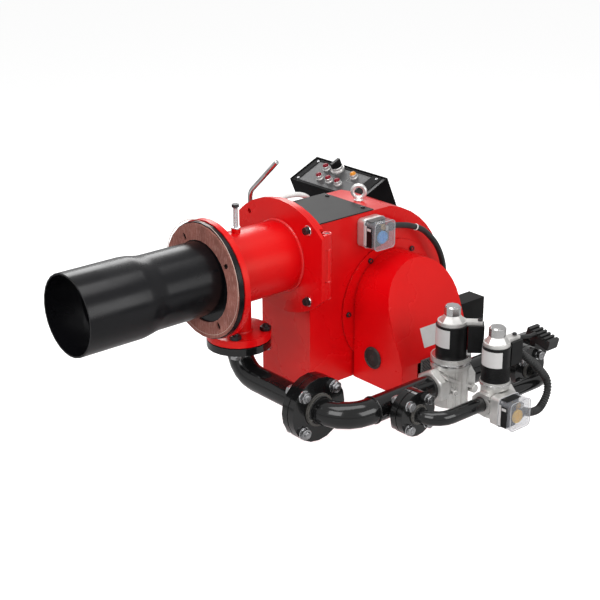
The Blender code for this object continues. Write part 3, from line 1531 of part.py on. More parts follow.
def gas_lance():
    """The pipe that brings the gas from the stub to the head, with the nozzle ring."""
    corner = (stub_x, 0, 0)
    low = Vector((stub_x, 0, -sleeve_radius - lance_foot))
    upright = rod("gas_lance", [low, Vector(corner)], lance_foot_radius, round_steps, steel)
    level = turned("level", [(0, lance_front - head_length), (head_radius / 2, lance_front - head_length),
                             (head_radius, lance_front - head_length / 2), (head_radius, lance_front),
                             (lance_radius, lance_front + head_length / 2), (lance_radius, lance_back),
                             (0, lance_back)],
                   "X", (0, 0), round_steps, steel)
    stem = disc("stem", disc_stem_radius, disc_x + disc_thickness + gap, lance_front, "X", (0, 0), small_steps, steel)
    add(upright, level, stem)
    bore = disc("bore", lance_radius - lance_wall, lance_front, lance_back - lance_wall, "X", (0, 0),
                round_steps, steel)
    up_bore = disc("up_bore", lance_foot_radius - lance_wall, low.z - overrun, 0, "Z", (stub_x, 0), round_steps,
                   steel)
    middle = lance_front - head_length / 4
    chamber_outline = circle(head_radius - 2 * lance_wall, round_steps, (0, 0), math.pi / round_steps)
    chamber = prism("chamber", chamber_outline, lance_front - head_length / 2, lance_front + sink, "X", steel)
    cut(upright, bore, up_bore, chamber)
    turn = math.pi / round_steps
    inner_ends = circle(lance_radius, head_hole_count, (0, 0), turn)
    outer_ends = circle(head_radius + overrun, head_hole_count, (0, 0), turn)
    for inner, outer in zip(inner_ends, outer_ends):
        route = [Vector((middle, *inner)), Vector((middle, *outer))]
        cut(upright, rod("hole", route, head_hole_radius, bolt_steps, steel))
    return upright


def diffuser_disc():
    """The slotted disc that holds the flame."""
    plate = disc("diffuser_disc", disc_radius, disc_x, disc_x + disc_thickness, "X", (0, 0), large_steps, steel)
    for number in range(disc_slot_count):
        angle = math.tau * number / disc_slot_count
        along = Vector((math.cos(angle), math.sin(angle)))
        across = Vector((-along.y, along.x)) * disc_slot_width / 2
        inner = along * disc_slot_inner
        outer = along * disc_slot_outer
        outline = [tuple(inner - across), tuple(outer - across), tuple(outer + across), tuple(inner + across)]
        cut(plate, prism("slot", outline, disc_x - overrun, disc_x + disc_thickness + overrun, "X", steel))
    return plate


def ignition_electrode():
    """A ceramic-sleeved electrode clamped on the lance, its bare wire ending past the disc."""
    front = lance_front + head_length / 2 + sink
    back = front + electrode_length
    high = head_radius + electrode_wire_lift
    body = disc("ignition_electrode", electrode_radius, front, back, "X", (0, electrode_offset), small_steps, ceramic)
    spots = [(front + sink, electrode_offset), (front - sink, electrode_offset), (lance_front, high),
             (disc_x - electrode_tip, high)]
    wire = rod("wire", [Vector((x, 0, z)) for x, z in spots], electrode_wire_radius, bolt_steps, steel)
    lead_end = Vector((back + electrode_tip, 0, electrode_offset + electrode_tip / 2))
    lead = rod("lead", [Vector((back - sink, 0, electrode_offset)), lead_end], electrode_wire_radius, bolt_steps, steel)
    start = front + electrode_length / 3
    clamp = washer("clamp", lance_radius + electrode_clamp_wall, lance_radius + gap, start,
                   start + electrode_clamp_length, "X", (0, 0), round_steps, steel)
    return add(body, wire, lead, clamp)


def cable_connector():
    """The plug connector on a bracket over the second small flange, with its ribbed back."""
    flange_top = train_z + branch_flange_radius + gap
    foot_far = branch_flange_front + branch_flange_thickness - gap
    foot_near = branch_flange_front + gap
    low = branch_right_x + connector_shift
    foot = box("cable_connector", (low, foot_near, flange_top),
               (low + connector_width / 2, foot_far, flange_top + connector_lift + connector_height / 2), coil_black)
    centre_y = branch_flange_front + connector_reach
    centre_z = flange_top + connector_lift + connector_height / 2
    outline = tilted(connector_profile(), connector_tilt, (centre_y, centre_z))
    block = prism("block", outline, low - connector_width / 4, low + connector_width * 3 / 4, "X", coil_black)
    return add(foot, block)


def connector_profile():
    """The connector's side view about its middle: a block with ribs along its top."""
    half = connector_length / 2
    top = connector_height / 2
    points = [(half, -top), (half, top)]
    pitch = connector_length / connector_rib_count
    for number in range(connector_rib_count - 1):
        edge = half - pitch * (number + 1)
        points += [(edge + pitch / 4, top), (edge + pitch / 4, top - connector_rib_depth),
                   (edge - pitch / 4, top - connector_rib_depth), (edge - pitch / 4, top)]
    return points + [(-half, top), (-half, -top)]


def tilted(outline, angle, centre):
    """An outline turned about its middle and moved to a centre."""
    cosine = math.cos(angle)
    sine = math.sin(angle)
    return [(centre[0] + u * cosine - v * sine, centre[1] + u * sine + v * cosine) for u, v in outline]


blast_tube()
boiler_gasket()
burner_head()
hinge_pin()
locking_lever()
set_screw()

stub_face = stub_flange_top - line_flange_thickness
line_seal("stub_gasket", line_gasket_radius, pipe_radius, stub_face - seal_thickness, stub_face, "Z", (stub_x, 0))
line_face = train_flange_front + line_flange_thickness
line_seal("line_gasket", line_gasket_radius, pipe_radius, line_face, line_face + seal_thickness, "Y",
          (stub_x, train_z))
branch_face = branch_flange_front + branch_flange_thickness
for seal_name, seal_x in (("left_branch_gasket", branch_left_x), ("right_branch_gasket", branch_right_x)):
    line_seal(seal_name, branch_gasket_radius, branch_radius, branch_face, branch_face + seal_thickness, "Y",
              (seal_x, train_z))
inlet_elbow()
main_pipe()
supply_pipe()
start_gas_pipe("start_gas_pipe", branch_left_x, valve_x - pilot_port_reach + port_socket_depth - gap)
start_gas_pipe("start_gas_return", branch_right_x, valve_x + pilot_port_reach - port_socket_depth + gap)

valve("main_valve", train_y, main_body_bottom, main_body_top, main_body_radius, main_port_reach, main_port_across,
      pipe_radius, main_ring_radius, main_ring_height, main_coil_radius, main_coil_height, main_plate_radius,
      main_plug_height, main_plug_turn)
start_valve_body = valve("start_valve", pilot_y, pilot_body_bottom, pilot_body_top, pilot_body_radius,
                         pilot_port_reach, pilot_port_across, branch_radius, pilot_ring_radius, pilot_ring_height,
                         pilot_coil_radius, pilot_coil_height, pilot_plate_radius, pilot_plug_height,
                         pilot_plug_turn)
gas_switch_seat = pilot_y - pilot_port_across / 2
pad_side = switch_width / 2 + overrun
cut(start_valve_body, box("pad", (gas_switch_x - pad_side, gas_switch_seat - switch_base_depth, gas_switch_z - pad_side),
                          (gas_switch_x + pad_side, gas_switch_seat, gas_switch_z + pad_side), cast_aluminium))
pressure_switch("gas_switch", gas_switch_x, gas_switch_z, gas_switch_seat, yellow_dial)

fan_housing()
inlet_ring()
fan_wheel()
motor_shaft()
fan_motor()
terminal_box()
intake_hood()
intake_grille()
hood_plug()
air_damper()
servomotor()
top_cover()
eye_bolt()
console_box()
console_plate()
for lamp_number, (lamp_along, lamp_y, lamp_colour) in enumerate(lamp_places()):
    signal_lamp(lamp_number + 1, lamp_along, lamp_y, lamp_colour)
selector_bezel()
selector_knob()
pressure_switch("air_switch", air_switch_x, air_switch_z, -housing_near, blue_dial)

cable("air_switch_conduit", air_conduit_points, air_conduit_radius, coil_black)
cable("gas_switch_conduit", gas_conduit_points, gas_conduit_radius, coil_black)
cable("main_valve_cable", valve_cable_points, cable_radius, coil_black)

gas_lance()
diffuser_disc()
ignition_electrode()
cable_connector()
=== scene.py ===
"""Looks of the gas burner: materials, fine detail, stage, light and camera.

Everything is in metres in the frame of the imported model: -X along the flame, -Y the side of
the air hood and the gas train, +Z up.
"""

import math

import bmesh
import bpy
from mathutils import Matrix, Vector


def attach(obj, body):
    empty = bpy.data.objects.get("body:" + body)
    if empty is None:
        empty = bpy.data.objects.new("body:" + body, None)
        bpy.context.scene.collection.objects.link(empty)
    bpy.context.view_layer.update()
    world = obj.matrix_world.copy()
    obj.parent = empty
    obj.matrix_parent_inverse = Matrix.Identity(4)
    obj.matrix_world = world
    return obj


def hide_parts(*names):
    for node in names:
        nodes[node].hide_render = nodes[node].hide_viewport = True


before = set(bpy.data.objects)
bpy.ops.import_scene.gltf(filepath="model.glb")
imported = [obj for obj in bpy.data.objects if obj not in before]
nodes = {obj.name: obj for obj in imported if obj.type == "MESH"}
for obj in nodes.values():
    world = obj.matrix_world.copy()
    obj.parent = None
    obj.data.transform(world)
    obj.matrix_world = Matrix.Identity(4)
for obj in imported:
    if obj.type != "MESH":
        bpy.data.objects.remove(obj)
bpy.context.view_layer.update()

# Sizes of the model that the details follow
sleeve_radius = 0.068
sleeve_start = 0.0256
plate_front = 0.183
plate_bolt_side = 0.082
plate_bolt_rise = 0.069
stub_x = 0.083
stub_flange_top = -0.1227
pipe_radius = 0.02415
branch_radius = 0.01345
train_z = -0.2065
train_y = -0.29
pilot_y = -0.399
train_flange_front = -0.2256
branch_flange_front = -0.355
branch_sides = (("left", 0.2013), ("right", 0.4987))
valve_x = 0.35
scroll_x = 0.4076
scroll_z = -0.129
housing_top = 0.066
housing_near = -0.066
hood_x = 0.405
hood_radius = 0.0935
hood_front = -0.2026
hood_fold_z = -0.2027
hood_face_slope = 0.376
hinge_x = 0.2035
hinge_side = 0.1108
hinge_radius = 0.0085
console_tilt = math.radians(23.6)
console_back_x = 0.5366
console_back_z = 0.065
console_sink = 0.003

# Directions, and steps of a full turn
to_flame = (-1, 0, 0)
to_back = (1, 0, 0)
to_near = (0, -1, 0)
to_far = (0, 1, 0)
upward = (0, 0, 1)
downward = (0, 0, -1)
large_steps = 96
round_steps = 48
small_steps = 24


# Materials


class Finish:
    """A procedural material: a shader with textures that are added one by one."""

    def __init__(self, name, colour, roughness, metallic=0.0):
        self.material = bpy.data.materials.new(name)
        self.material.use_nodes = True
        self.tree = self.material.node_tree
        self.shader = self.tree.nodes["Principled BSDF"]
        self.colour = (*colour, 1)
        self.shader.inputs["Base Color"].default_value = self.colour
        self.shader.inputs["Roughness"].default_value = roughness
        self.shader.inputs["Metallic"].default_value = metallic
        self.normal = None

    def node(self, kind):
        """A new node of this kind."""
        return self.tree.nodes.new(kind)

    def link(self, source, target):
        """Join two sockets."""
        self.tree.links.new(source, target)

    def noise(self, scale, detail=4.0, stretch=(1, 1, 1)):
        """Noise in the object's own metres, from 0 to 1."""
        place = self.node("ShaderNodeTexCoord")
        mapping = self.node("ShaderNodeMapping")
        mapping.inputs["Scale"].default_value = stretch
        texture = self.node("ShaderNodeTexNoise")
        texture.inputs["Scale"].default_value = scale
        texture.inputs["Detail"].default_value = detail
        self.link(place.outputs["Object"], mapping.inputs["Vector"])
        self.link(mapping.outputs["Vector"], texture.inputs["Vector"])
        return texture.outputs["Fac"]

    def remap(self, value, low, high, out_low, out_high):
        """Stretch a value from one range to another, with soft ends."""
        ranged = self.node("ShaderNodeMapRange")
        ranged.interpolation_type = "SMOOTHSTEP"
        for name, number in zip(("From Min", "From Max", "To Min", "To Max"),
                                (low, high, out_low, out_high)):
            ranged.inputs[name].default_value = number
        self.link(value, ranged.inputs["Value"])
        return ranged.outputs["Result"]

    def tint(self, factor, colour):
        """Mix a second colour over the base where the factor is high."""
        base = self.shader.inputs["Base Color"]
        mixed = self.node("ShaderNodeMix")
        mixed.data_type = "RGBA"
        mixed.inputs["A"].default_value = self.colour
        if base.links:
            self.link(base.links[0].from_socket, mixed.inputs["A"])
        mixed.inputs["B"].default_value = (*colour, 1)
        self.link(factor, mixed.inputs["Factor"])
        self.link(mixed.outputs["Result"], base)
        return self

    def mottle(self, scale, share, detail=3.0):
        """Soft lighter and darker patches."""
        dark = tuple(channel * (1 - share) for channel in self.colour[:3])
        return self.tint(self.remap(self.noise(scale, detail), 0.35, 0.65, 0, 1), dark)

    def corner_shade(self, reach, colour, amount):
        """Painted shade: darkens the colour towards a given colour in corners and crevices, found by ambient
        occlusion.
        """
        shade = self.node("ShaderNodeAmbientOcclusion")
        shade.inputs["Distance"].default_value = reach
        shade.samples = 4
        return self.tint(self.remap(shade.outputs["AO"], 0.25, 0.85, amount, 0), colour)

    def wear(self, scale, threshold, colour, amount):
        """Small chips and scuffs."""
        return self.tint(self.remap(self.noise(scale, 6.0), threshold, threshold + 0.03, 0, amount), colour)

    def gloss(self, scale, low, high):
        """Roughness that varies over the surface."""
        self.link(self.remap(self.noise(scale, 5.0), 0.3, 0.7, low, high), self.shader.inputs["Roughness"])
        return self

    def soft_edges(self, radius):
        """Round the shading at edges, as a worn or painted edge has."""
        bevel = self.node("ShaderNodeBevel")
        bevel.samples = 4
        bevel.inputs["Radius"].default_value = radius
        self.normal = bevel.outputs["Normal"]
        self.link(self.normal, self.shader.inputs["Normal"])
        return self

    def grain(self, scale, height, detail=4.0, stretch=(1, 1, 1), strength=1.0):
        """Relief from noise, its height in metres."""
        bump = self.node("ShaderNodeBump")
        bump.inputs["Distance"].default_value = height
        bump.inputs["Strength"].default_value = strength
        if self.normal is not None:
            self.link(self.normal, bump.inputs["Normal"])
        self.link(self.noise(scale, detail, stretch), bump.inputs["Height"])
        self.normal = bump.outputs["Normal"]
        self.link(self.normal, self.shader.inputs["Normal"])
        return self

    def set(self, **values):
        """Set sockets of the shader by name, with _ for a space."""
        for name, value in values.items():
            self.shader.inputs[name.replace("_", " ")].default_value = value
        return self


red = Finish("red_gloss", (0.72, 0.0012, 0.004), 0.27).mottle(5, 0.06)
# Painted shade: the red darkens to a deep red in corners and crevices.
red.corner_shade(0.012, (0.3, 0.002, 0.004), 0.55).soft_edges(0.0009).gloss(9, 0.24, 0.34)
red.grain(420, 0.00006, 2.0, strength=0.6)
red.set(Specular_IOR_Level=0.42, Specular_Tint=(1.0, 0.72, 0.55, 1.0))

tube_black = Finish("tube_black", (0.005, 0.005, 0.0062), 0.32).mottle(7, 0.35)
tube_black.wear(60, 0.72, (0.05, 0.048, 0.046), 0.35).soft_edges(0.0008).gloss(14, 0.2, 0.29)
tube_black.grain(900, 0.00005, 3.0, strength=0.5).set(Specular_IOR_Level=0.27)

pipe_black = Finish("pipe_black", (0.007, 0.0071, 0.0074), 0.2).mottle(12, 0.3)
pipe_black.wear(70, 0.72, (0.075, 0.07, 0.065), 0.4).soft_edges(0.0009).gloss(16, 0.09, 0.18)
pipe_black.grain(95, 0.00025, 5.0, strength=0.5)
pipe_black.set(Coat_Weight=0.4, Coat_Roughness=0.05, Specular_IOR_Level=0.3)

gasket = Finish("gasket_fibre", (0.32, 0.125, 0.1), 0.9).mottle(26, 0.28)
gasket.tint(gasket.remap(gasket.noise(420, 4.0, (1, 1, 0.16)), 0.5, 0.66, 0, 0.6), (0.5, 0.26, 0.22))
gasket.tint(gasket.remap(gasket.noise(560, 4.0, (1, 0.2, 1)), 0.54, 0.7, 0, 0.5), (0.15, 0.055, 0.045))
gasket.set(Specular_IOR_Level=0.15).grain(1300, 0.00015, 3.0, strength=0.6)
# Painted highlight: a light colour for the ring along the gasket's front edge.
gasket_edge_highlight = Finish("gasket_edge_highlight", (0.6, 0.43, 0.37), 0.6)

seal_black = Finish("seal_black", (0.017, 0.016, 0.016), 0.72).mottle(40, 0.4).grain(600, 0.00012)
plug_rubber = Finish("plug_rubber", (0.03, 0.028, 0.026), 0.62).mottle(90, 0.4).grain(420, 0.0003)
plug_rubber.wear(160, 0.6, (0.1, 0.095, 0.09), 0.6)

console_black = Finish("console_black", (0.0055, 0.0055, 0.006), 0.42).mottle(14, 0.35).soft_edges(0.0007)
console_black.grain(1400, 0.00006, 2.0).wear(45, 0.73, (0.05, 0.05, 0.05), 0.3).set(Specular_IOR_Level=0.03)
panel_grey = Finish("panel_grey", (0.052, 0.052, 0.054), 0.46).mottle(22, 0.25).soft_edges(0.0005)
panel_grey.grain(1500, 0.00005, 2.0).wear(60, 0.7, (0.16, 0.16, 0.16), 0.35)
cover_grey = Finish("cover_grey", (0.02, 0.019, 0.019), 0.6).mottle(16, 0.3).soft_edges(0.0006)
cover_grey.grain(1100, 0.00008, 3.0).wear(50, 0.72, (0.1, 0.1, 0.1), 0.25).set(Specular_IOR_Level=0.3)

chrome = Finish("chrome", (0.78, 0.78, 0.79), 0.12, 1.0).mottle(30, 0.12).gloss(60, 0.07, 0.2)
chrome.grain(300, 0.00003, 3.0)
steel = Finish("zinc_steel", (0.52, 0.52, 0.53), 0.34, 1.0).mottle(60, 0.25).gloss(90, 0.26, 0.44)
steel.soft_edges(0.0004).grain(500, 0.00005, 3.0)
worn_steel = Finish("worn_steel", (0.42, 0.42, 0.43), 0.26, 0.95).mottle(80, 0.3).soft_edges(0.0004)
worn_steel.grain(700, 0.00004, 3.0)
dark_steel = Finish("black_steel", (0.045, 0.045, 0.048), 0.34, 0.7).mottle(80, 0.35).soft_edges(0.0004)
dark_steel.grain(700, 0.00004, 3.0)
eye_metal = Finish("eye_metal", (0.8, 0.79, 0.78), 0.3, 0.55).mottle(70, 0.15).gloss(50, 0.22, 0.38)
eye_metal.grain(600, 0.0001, 3.0)
lever_grip = Finish("lever_steel", (0.7, 0.69, 0.69), 0.17, 1.0).mottle(45, 0.2).gloss(40, 0.12, 0.26)
lever_grip.grain(260, 0.00005, 3.0, (1, 1, 0.3))
brass = Finish("brass", (0.66, 0.46, 0.2), 0.28, 1.0).mottle(70, 0.2).gloss(80, 0.2, 0.36)
hub_grey = Finish("hub_grey", (0.105, 0.098, 0.088), 0.52).mottle(55, 0.35).grain(420, 0.0002, 4.0)
# Painted shade: the hub darkens in its corners.
hub_grey.corner_shade(0.004, (0.02, 0.02, 0.02), 0.7)

cast = Finish("cast_aluminium", (0.74, 0.73, 0.71), 0.4, 0.8).mottle(28, 0.22, 5.0)
cast.tint(cast.remap(cast.noise(160, 6.0), 0.56, 0.74, 0, 0.45), (0.5, 0.49, 0.47))
# Painted shade: the casting darkens in corners and crevices.
cast.corner_shade(0.006, (0.22, 0.215, 0.21), 0.6).soft_edges(0.0009).gloss(70, 0.34, 0.54)
cast.grain(520, 0.00016, 5.0, strength=0.7)
pale_cast = Finish("pale_aluminium", (0.72, 0.71, 0.69), 0.36, 0.75).mottle(50, 0.15, 4.0)
# Painted shade: the switch bases darken in their corners.
pale_cast.corner_shade(0.006, (0.22, 0.21, 0.2), 0.6).soft_edges(0.0006).grain(600, 0.00012, 4.0)
bright_cast = Finish("bright_cast", (0.56, 0.555, 0.55), 0.24, 0.95).mottle(40, 0.1).gloss(40, 0.15, 0.26)
# Painted shade: the caps and rings darken in their corners.
bright_cast.corner_shade(0.004, (0.25, 0.24, 0.23), 0.4).soft_edges(0.0006).grain(300, 0.00003, 2.0)

coil_black = Finish("coil_black", (0.0075, 0.0075, 0.008), 0.36).mottle(50, 0.3).soft_edges(0.0007)
coil_black.set(Specular_IOR_Level=0.18).grain(1200, 0.00007, 2.0).wear(75, 0.73, (0.05, 0.05, 0.05), 0.3)
servo_black = Finish("servo_black", (0.009, 0.0087, 0.0085), 0.52).mottle(24, 0.3).soft_edges(0.0012)
servo_black.grain(1600, 0.0001, 2.0).set(Specular_IOR_Level=0.12)
cable_black = Finish("cable_black", (0.014, 0.014, 0.0145), 0.46).mottle(60, 0.35).grain(900, 0.00006)
wire_white = Finish("wire_white", (0.9, 0.89, 0.87), 0.42).mottle(40, 0.15).grain(700, 0.00004)

label_white = Finish("label_white", (0.6, 0.59, 0.585), 0.42).mottle(30, 0.08).grain(800, 0.00003)
label_silver = Finish("label_silver", (0.62, 0.61, 0.6), 0.36, 0.35).mottle(26, 0.12).grain(900, 0.00004)
label_line = Finish("label_line", (0.3, 0.29, 0.29), 0.5).mottle(300, 0.3)

lens_red = Finish("lens_red", (0.26, 0.002, 0.016), 0.3).mottle(200, 0.3).set(Specular_IOR_Level=0.25)
lens_orange = Finish("lens_orange", (0.8, 0.3, 0.02), 0.3).mottle(200, 0.2).set(Specular_IOR_Level=0.25)
dial_blue = Finish("dial_blue", (0.05, 0.4, 0.95), 0.4).mottle(90, 0.12).grain(900, 0.00004)
dial_yellow = Finish("dial_yellow", (0.95, 0.55, 0.01), 0.4).mottle(90, 0.12).grain(900, 0.00004)
dial_mark = Finish("dial_mark", (0.06, 0.1, 0.16), 0.5).mottle(200, 0.3)
board = Finish("switch_inside", (0.11, 0.11, 0.113), 0.5).mottle(120, 0.35).grain(500, 0.0002)
clear = Finish("clear_cover", (0.42, 0.43, 0.46), 0.06).gloss(70, 0.04, 0.09).grain(120, 0.00002)
clear.set(Alpha=0.24)
# Painted highlight: light grey for the rims that stand for the bright edges of the clear covers.
cover_edge_highlight = Finish("cover_edge_highlight", (0.62, 0.62, 0.64), 0.2).mottle(90, 0.15).gloss(60, 0.15, 0.25)
cover_edge_highlight.set(Alpha=0.8)

ceramic = Finish("ceramic", (0.8, 0.78, 0.73), 0.22).mottle(60, 0.12)
ceramic.set(Coat_Weight=0.5, Coat_Roughness=0.08)
motor_grey = Finish("motor_grey", (0.36, 0.365, 0.37), 0.42).mottle(14, 0.2).soft_edges(0.0009)
# Painted shade: the motor darkens in corners and crevices.
motor_grey.corner_shade(0.01, (0.08, 0.08, 0.08), 0.6).grain(400, 0.00012)
mesh_grey = Finish("mesh_grey", (0.16, 0.158, 0.155), 0.45, 0.6).mottle(200, 0.4).grain(900, 0.0001)
# Painted shade: near black for the sheet that stands for the shaded inside of the air inlet.
mesh_back_shade = Finish("mesh_back_shade", (0.006, 0.006, 0.006), 0.8).mottle(60, 0.4).grain(500, 0.0002)

weld_red = Finish("weld_red", (0.76, 0.012, 0.013), 0.26).mottle(30, 0.12)
weld_red.set(Coat_Weight=0.4, Coat_Roughness=0.1).grain(260, 0.0003, 4.0)
weld_black = Finish("weld_black", (0.013, 0.013, 0.013), 0.22).mottle(60, 0.35).grain(300, 0.0003, 4.0)
weld_black.wear(90, 0.6, (0.3, 0.29, 0.27), 0.6)

node_finishes = (
    (red, ("burner_head", "fan_housing", "inlet_ring", "intake_hood")),
    (tube_black, ("blast_tube",)),
    (gasket, ("boiler_gasket",)),
    (pipe_black, ("inlet_elbow", "main_pipe", "supply_pipe", "start_gas_pipe", "start_gas_return")),
    (seal_black, ("stub_gasket", "line_gasket", "left_branch_gasket", "right_branch_gasket", "hood_plug")),
    (console_black, ("console_box", "intake_grille")),
    (panel_grey, ("console_plate",)),
    (cover_grey, ("top_cover",)),
    (steel, ("fan_wheel", "motor_shaft", "air_damper", "gas_lance", "diffuser_disc")),
    (cast, ("main_valve_body", "start_valve_body", "main_valve_top_plate", "start_valve_top_plate")),
    (bright_cast, ("main_valve_cap", "start_valve_cap")),
    (pale_cast, ("gas_switch_base", "air_switch_base")),
    (coil_black, ("main_valve_coil", "main_valve_plug", "start_valve_coil", "start_valve_plug",
                  "selector_knob")),
    (servo_black, ("servomotor",)),
    (cable_black, ("main_valve_cable", "air_switch_conduit", "gas_switch_conduit", "cable_connector")),
    (clear, ("gas_switch_cover", "air_switch_cover")),
    (dial_blue, ("air_switch_dial",)),
    (dial_yellow, ("gas_switch_dial",)),
    (lens_red, ("signal_lamp_1", "signal_lamp_2", "signal_lamp_3", "signal_lamp_4")),
    (lens_orange, ("signal_lamp_5",)),
    (ceramic, ("ignition_electrode",)),
    (motor_grey, ("fan_motor", "terminal_box")),
)


def softening():
    """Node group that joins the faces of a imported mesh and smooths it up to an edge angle."""
    group = bpy.data.node_groups.new("soften", "GeometryNodeTree")
    group.interface.new_socket("Geometry", in_out="INPUT", socket_type="NodeSocketGeometry")
    group.interface.new_socket("Geometry", in_out="OUTPUT", socket_type="NodeSocketGeometry")
    start = group.nodes.new("NodeGroupInput")
    merge = group.nodes.new("GeometryNodeMergeByDistance")
    merge.inputs["Distance"].default_value = 0.00001
    clean = group.nodes.new("GeometryNodeRemoveAttribute")
    clean.inputs["Name"].default_value = "custom_normal"
    angle = group.nodes.new("GeometryNodeInputMeshEdgeAngle")
    sharp = group.nodes.new("FunctionNodeCompare")
    sharp.operation = "GREATER_THAN"
    sharp.inputs["B"].default_value = math.radians(33)
    faces = group.nodes.new("GeometryNodeSetShadeSmooth")
    faces.domain = "FACE"
    edges = group.nodes.new("GeometryNodeSetShadeSmooth")
    edges.domain = "EDGE"
    edges.inputs["Shade Smooth"].default_value = False
    end = group.nodes.new("NodeGroupOutput")
    chain = (start, merge, clean, faces, edges, end)
    for before, after in zip(chain, chain[1:]):
        group.links.new(before.outputs["Geometry"], after.inputs["Geometry"])
    group.links.new(angle.outputs["Unsigned Angle"], sharp.inputs["A"])
    group.links.new(sharp.outputs["Result"], edges.inputs["Selection"])
    return group


soften = softening()


def smooth(thing):
    """Smooth an object's shading up to the edge angle."""
    modifier = thing.modifiers.new("soften", "NODES")
    modifier.node_group = soften


for finish, node_names in node_finishes:
    for node_name in node_names:
        node = nodes[node_name]
        node.data.materials.clear()
        node.data.materials.append(finish.material)
        smooth(node)


# Mesh helpers


def facing(place, direction, turn=0.0):
    """A frame at a place whose Z points along a direction."""
    tilt = Vector(direction).to_track_quat("Z", "Y").to_matrix().to_4x4()
    return Matrix.Translation(Vector(place)) @ tilt @ Matrix.Rotation(turn, 4, "Z")


def circle_point(radius, angle, height=0.0):
    """A point at an angle about Z."""
    return Vector((radius * math.cos(angle), radius * math.sin(angle), height))


def rod_profile(radius, length):
    """The profile of a plain round rod."""
    return [(0, 0), (radius, 0), (radius, length), (0, length)]


def ring_faces(work, lower, upper):
    """Join two rings of points with faces."""
    for index in range(len(lower)):
        after = (index + 1) % len(lower)
        work.faces.new((lower[index], lower[after], upper[after], upper[index]))


def add_lathe(work, place, profile, steps=small_steps):
    """Turn a profile of (radius, height) about a frame's Z. Radius zero closes an end."""
    rows = []
    for radius, height in profile:
        count = steps if radius else 1
        rows.append([work.verts.new(place @ circle_point(radius, math.tau * index / steps, height))
                     for index in range(count)])
    pairs = list(zip(rows, rows[1:]))
    if profile[0][0]:
        pairs.append((rows[-1], rows[0]))
    for lower, upper in pairs:
        for index in range(steps):
            after = (index + 1) % steps
            corners = [lower[index % len(lower)], lower[after % len(lower)]]
            corners += [upper[after % len(upper)], upper[index % len(upper)]]
            work.faces.new(list(dict.fromkeys(corners)))


def add_loft(work, place, rings):
    """A closed solid through outlines of equal count, each (outline, height)."""
    rows = []
    for outline, height in rings:
        rows.append([work.verts.new(place @ Vector((u, v, height))) for u, v in outline])
    for lower, upper in zip(rows, rows[1:]):
        ring_faces(work, lower, upper)
    work.faces.new(rows[0])
    work.faces.new(rows[-1])


def scaled(outline, share):
    """An outline drawn smaller about the frame's axis."""
    return [(u * share, v * share) for u, v in outline]


def round_outline(width, height, corner, steps=6):
    """A rectangle with round corners about the frame's axis."""
    points = []
    for side_u, side_v, start in ((1, 1, 0), (-1, 1, 1), (-1, -1, 2), (1, -1, 3)):
        for index in range(steps + 1):
            angle = math.tau / 4 * (start + index / steps)
            points.append((side_u * (width / 2 - corner) + corner * math.cos(angle),
                           side_v * (height / 2 - corner) + corner * math.sin(angle)))
    return points


def add_hexagon(work, place, across, height, chamfer):
    """A bolt head or nut with its corners turned off above and below."""
    hexes = []
    rounds = []
    sixth = math.tau / 6
    for index in range(small_steps):
        angle = math.tau * index / small_steps
        radius = across / 2 / math.cos((angle + sixth / 2) % sixth - sixth / 2)
        hexes.append((radius * math.cos(angle), radius * math.sin(angle)))
        limit = min(radius, across / 2 + chamfer * 0.4)
        rounds.append((limit * math.cos(angle), limit * math.sin(angle)))
    inner = scaled(rounds, 0.93)
    add_loft(work, place, [(inner, 0), (rounds, chamfer * 0.3), (hexes, chamfer), (hexes, height - chamfer),
                           (rounds, height - chamfer * 0.3), (inner, height)])


def add_washer(work, place, radius, height, bore):
    """A flat washer with eased edges."""
    edge = height * 0.25
    add_lathe(work, place, [(bore, 0), (radius, 0), (radius, height - edge), (radius - edge, height),
                            (bore, height)])


def add_plate(work, place, width, height, thickness, corner=0.001):
    """A thin plate with round corners, its back on the place."""
    outline = round_outline(width, height, corner, 3)
    add_loft(work, place, [(outline, 0), (outline, thickness * 0.7), (scaled(outline, 0.995), thickness)])


def frames_along(route, closed):
    """A frame at each point of a route, carried along without twist."""
    frames = []
    side = None
    count = len(route)
    for index in range(count):
        if closed:
            ahead = (route[(index + 1) % count] - route[index - 1]).normalized()
        else:
            ahead = (route[min(index + 1, count - 1)] - route[max(index - 1, 0)]).normalized()
        if side is None:
            side = ahead.orthogonal().normalized()
        side = (side - ahead * side.dot(ahead)).normalized()
        frames.append((side, ahead.cross(side)))
    return frames


def add_tube(work, route, radii, steps, closed=False):
    """A round bar along a route, with a radius for each point."""
    rows = []
    for point, radius, (side, up) in zip(route, radii, frames_along(route, closed)):
        row = []
        for index in range(steps):
            angle = math.tau * index / steps
            offset = side * radius * math.cos(angle) + up * radius * math.sin(angle)
            row.append(work.verts.new(point + offset))
        rows.append(row)
    for lower, upper in zip(rows, rows[1:]):
        ring_faces(work, lower, upper)
    if closed:
        ring_faces(work, rows[-1], rows[0])
    else:
        work.faces.new(rows[0])
        work.faces.new(rows[-1])


def ring_route(place, radius, count):
    """Points of a circle about a frame's Z."""
    return [place @ circle_point(radius, math.tau * index / count) for index in range(count)]


def add_ring(work, place, radius, thickness, count, steps=8):
    """A round wire bent to a circle about a frame's Z."""
    add_tube(work, ring_route(place, radius, count), [thickness] * count, steps, closed=True)


def smooth_route(points, spacing):
    """Points along a smooth curve through a few given ones."""
    spots = [Vector(point) for point in points]
    padded = [2 * spots[0] - spots[1]] + spots + [2 * spots[-1] - spots[-2]]
    route = [spots[0]]
    for first, start, end, last in zip(padded, padded[1:], padded[2:], padded[3:]):
        pieces = max(1, round((end - start).length / spacing))
        for index in range(1, pieces + 1):
            share = index / pieces
            point = 2 * start + (end - first) * share
            point += (2 * first - 5 * start + 4 * end - last) * share ** 2
            point += (3 * start - first - 3 * end + last) * share ** 3
            route.append(point / 2)
    return route


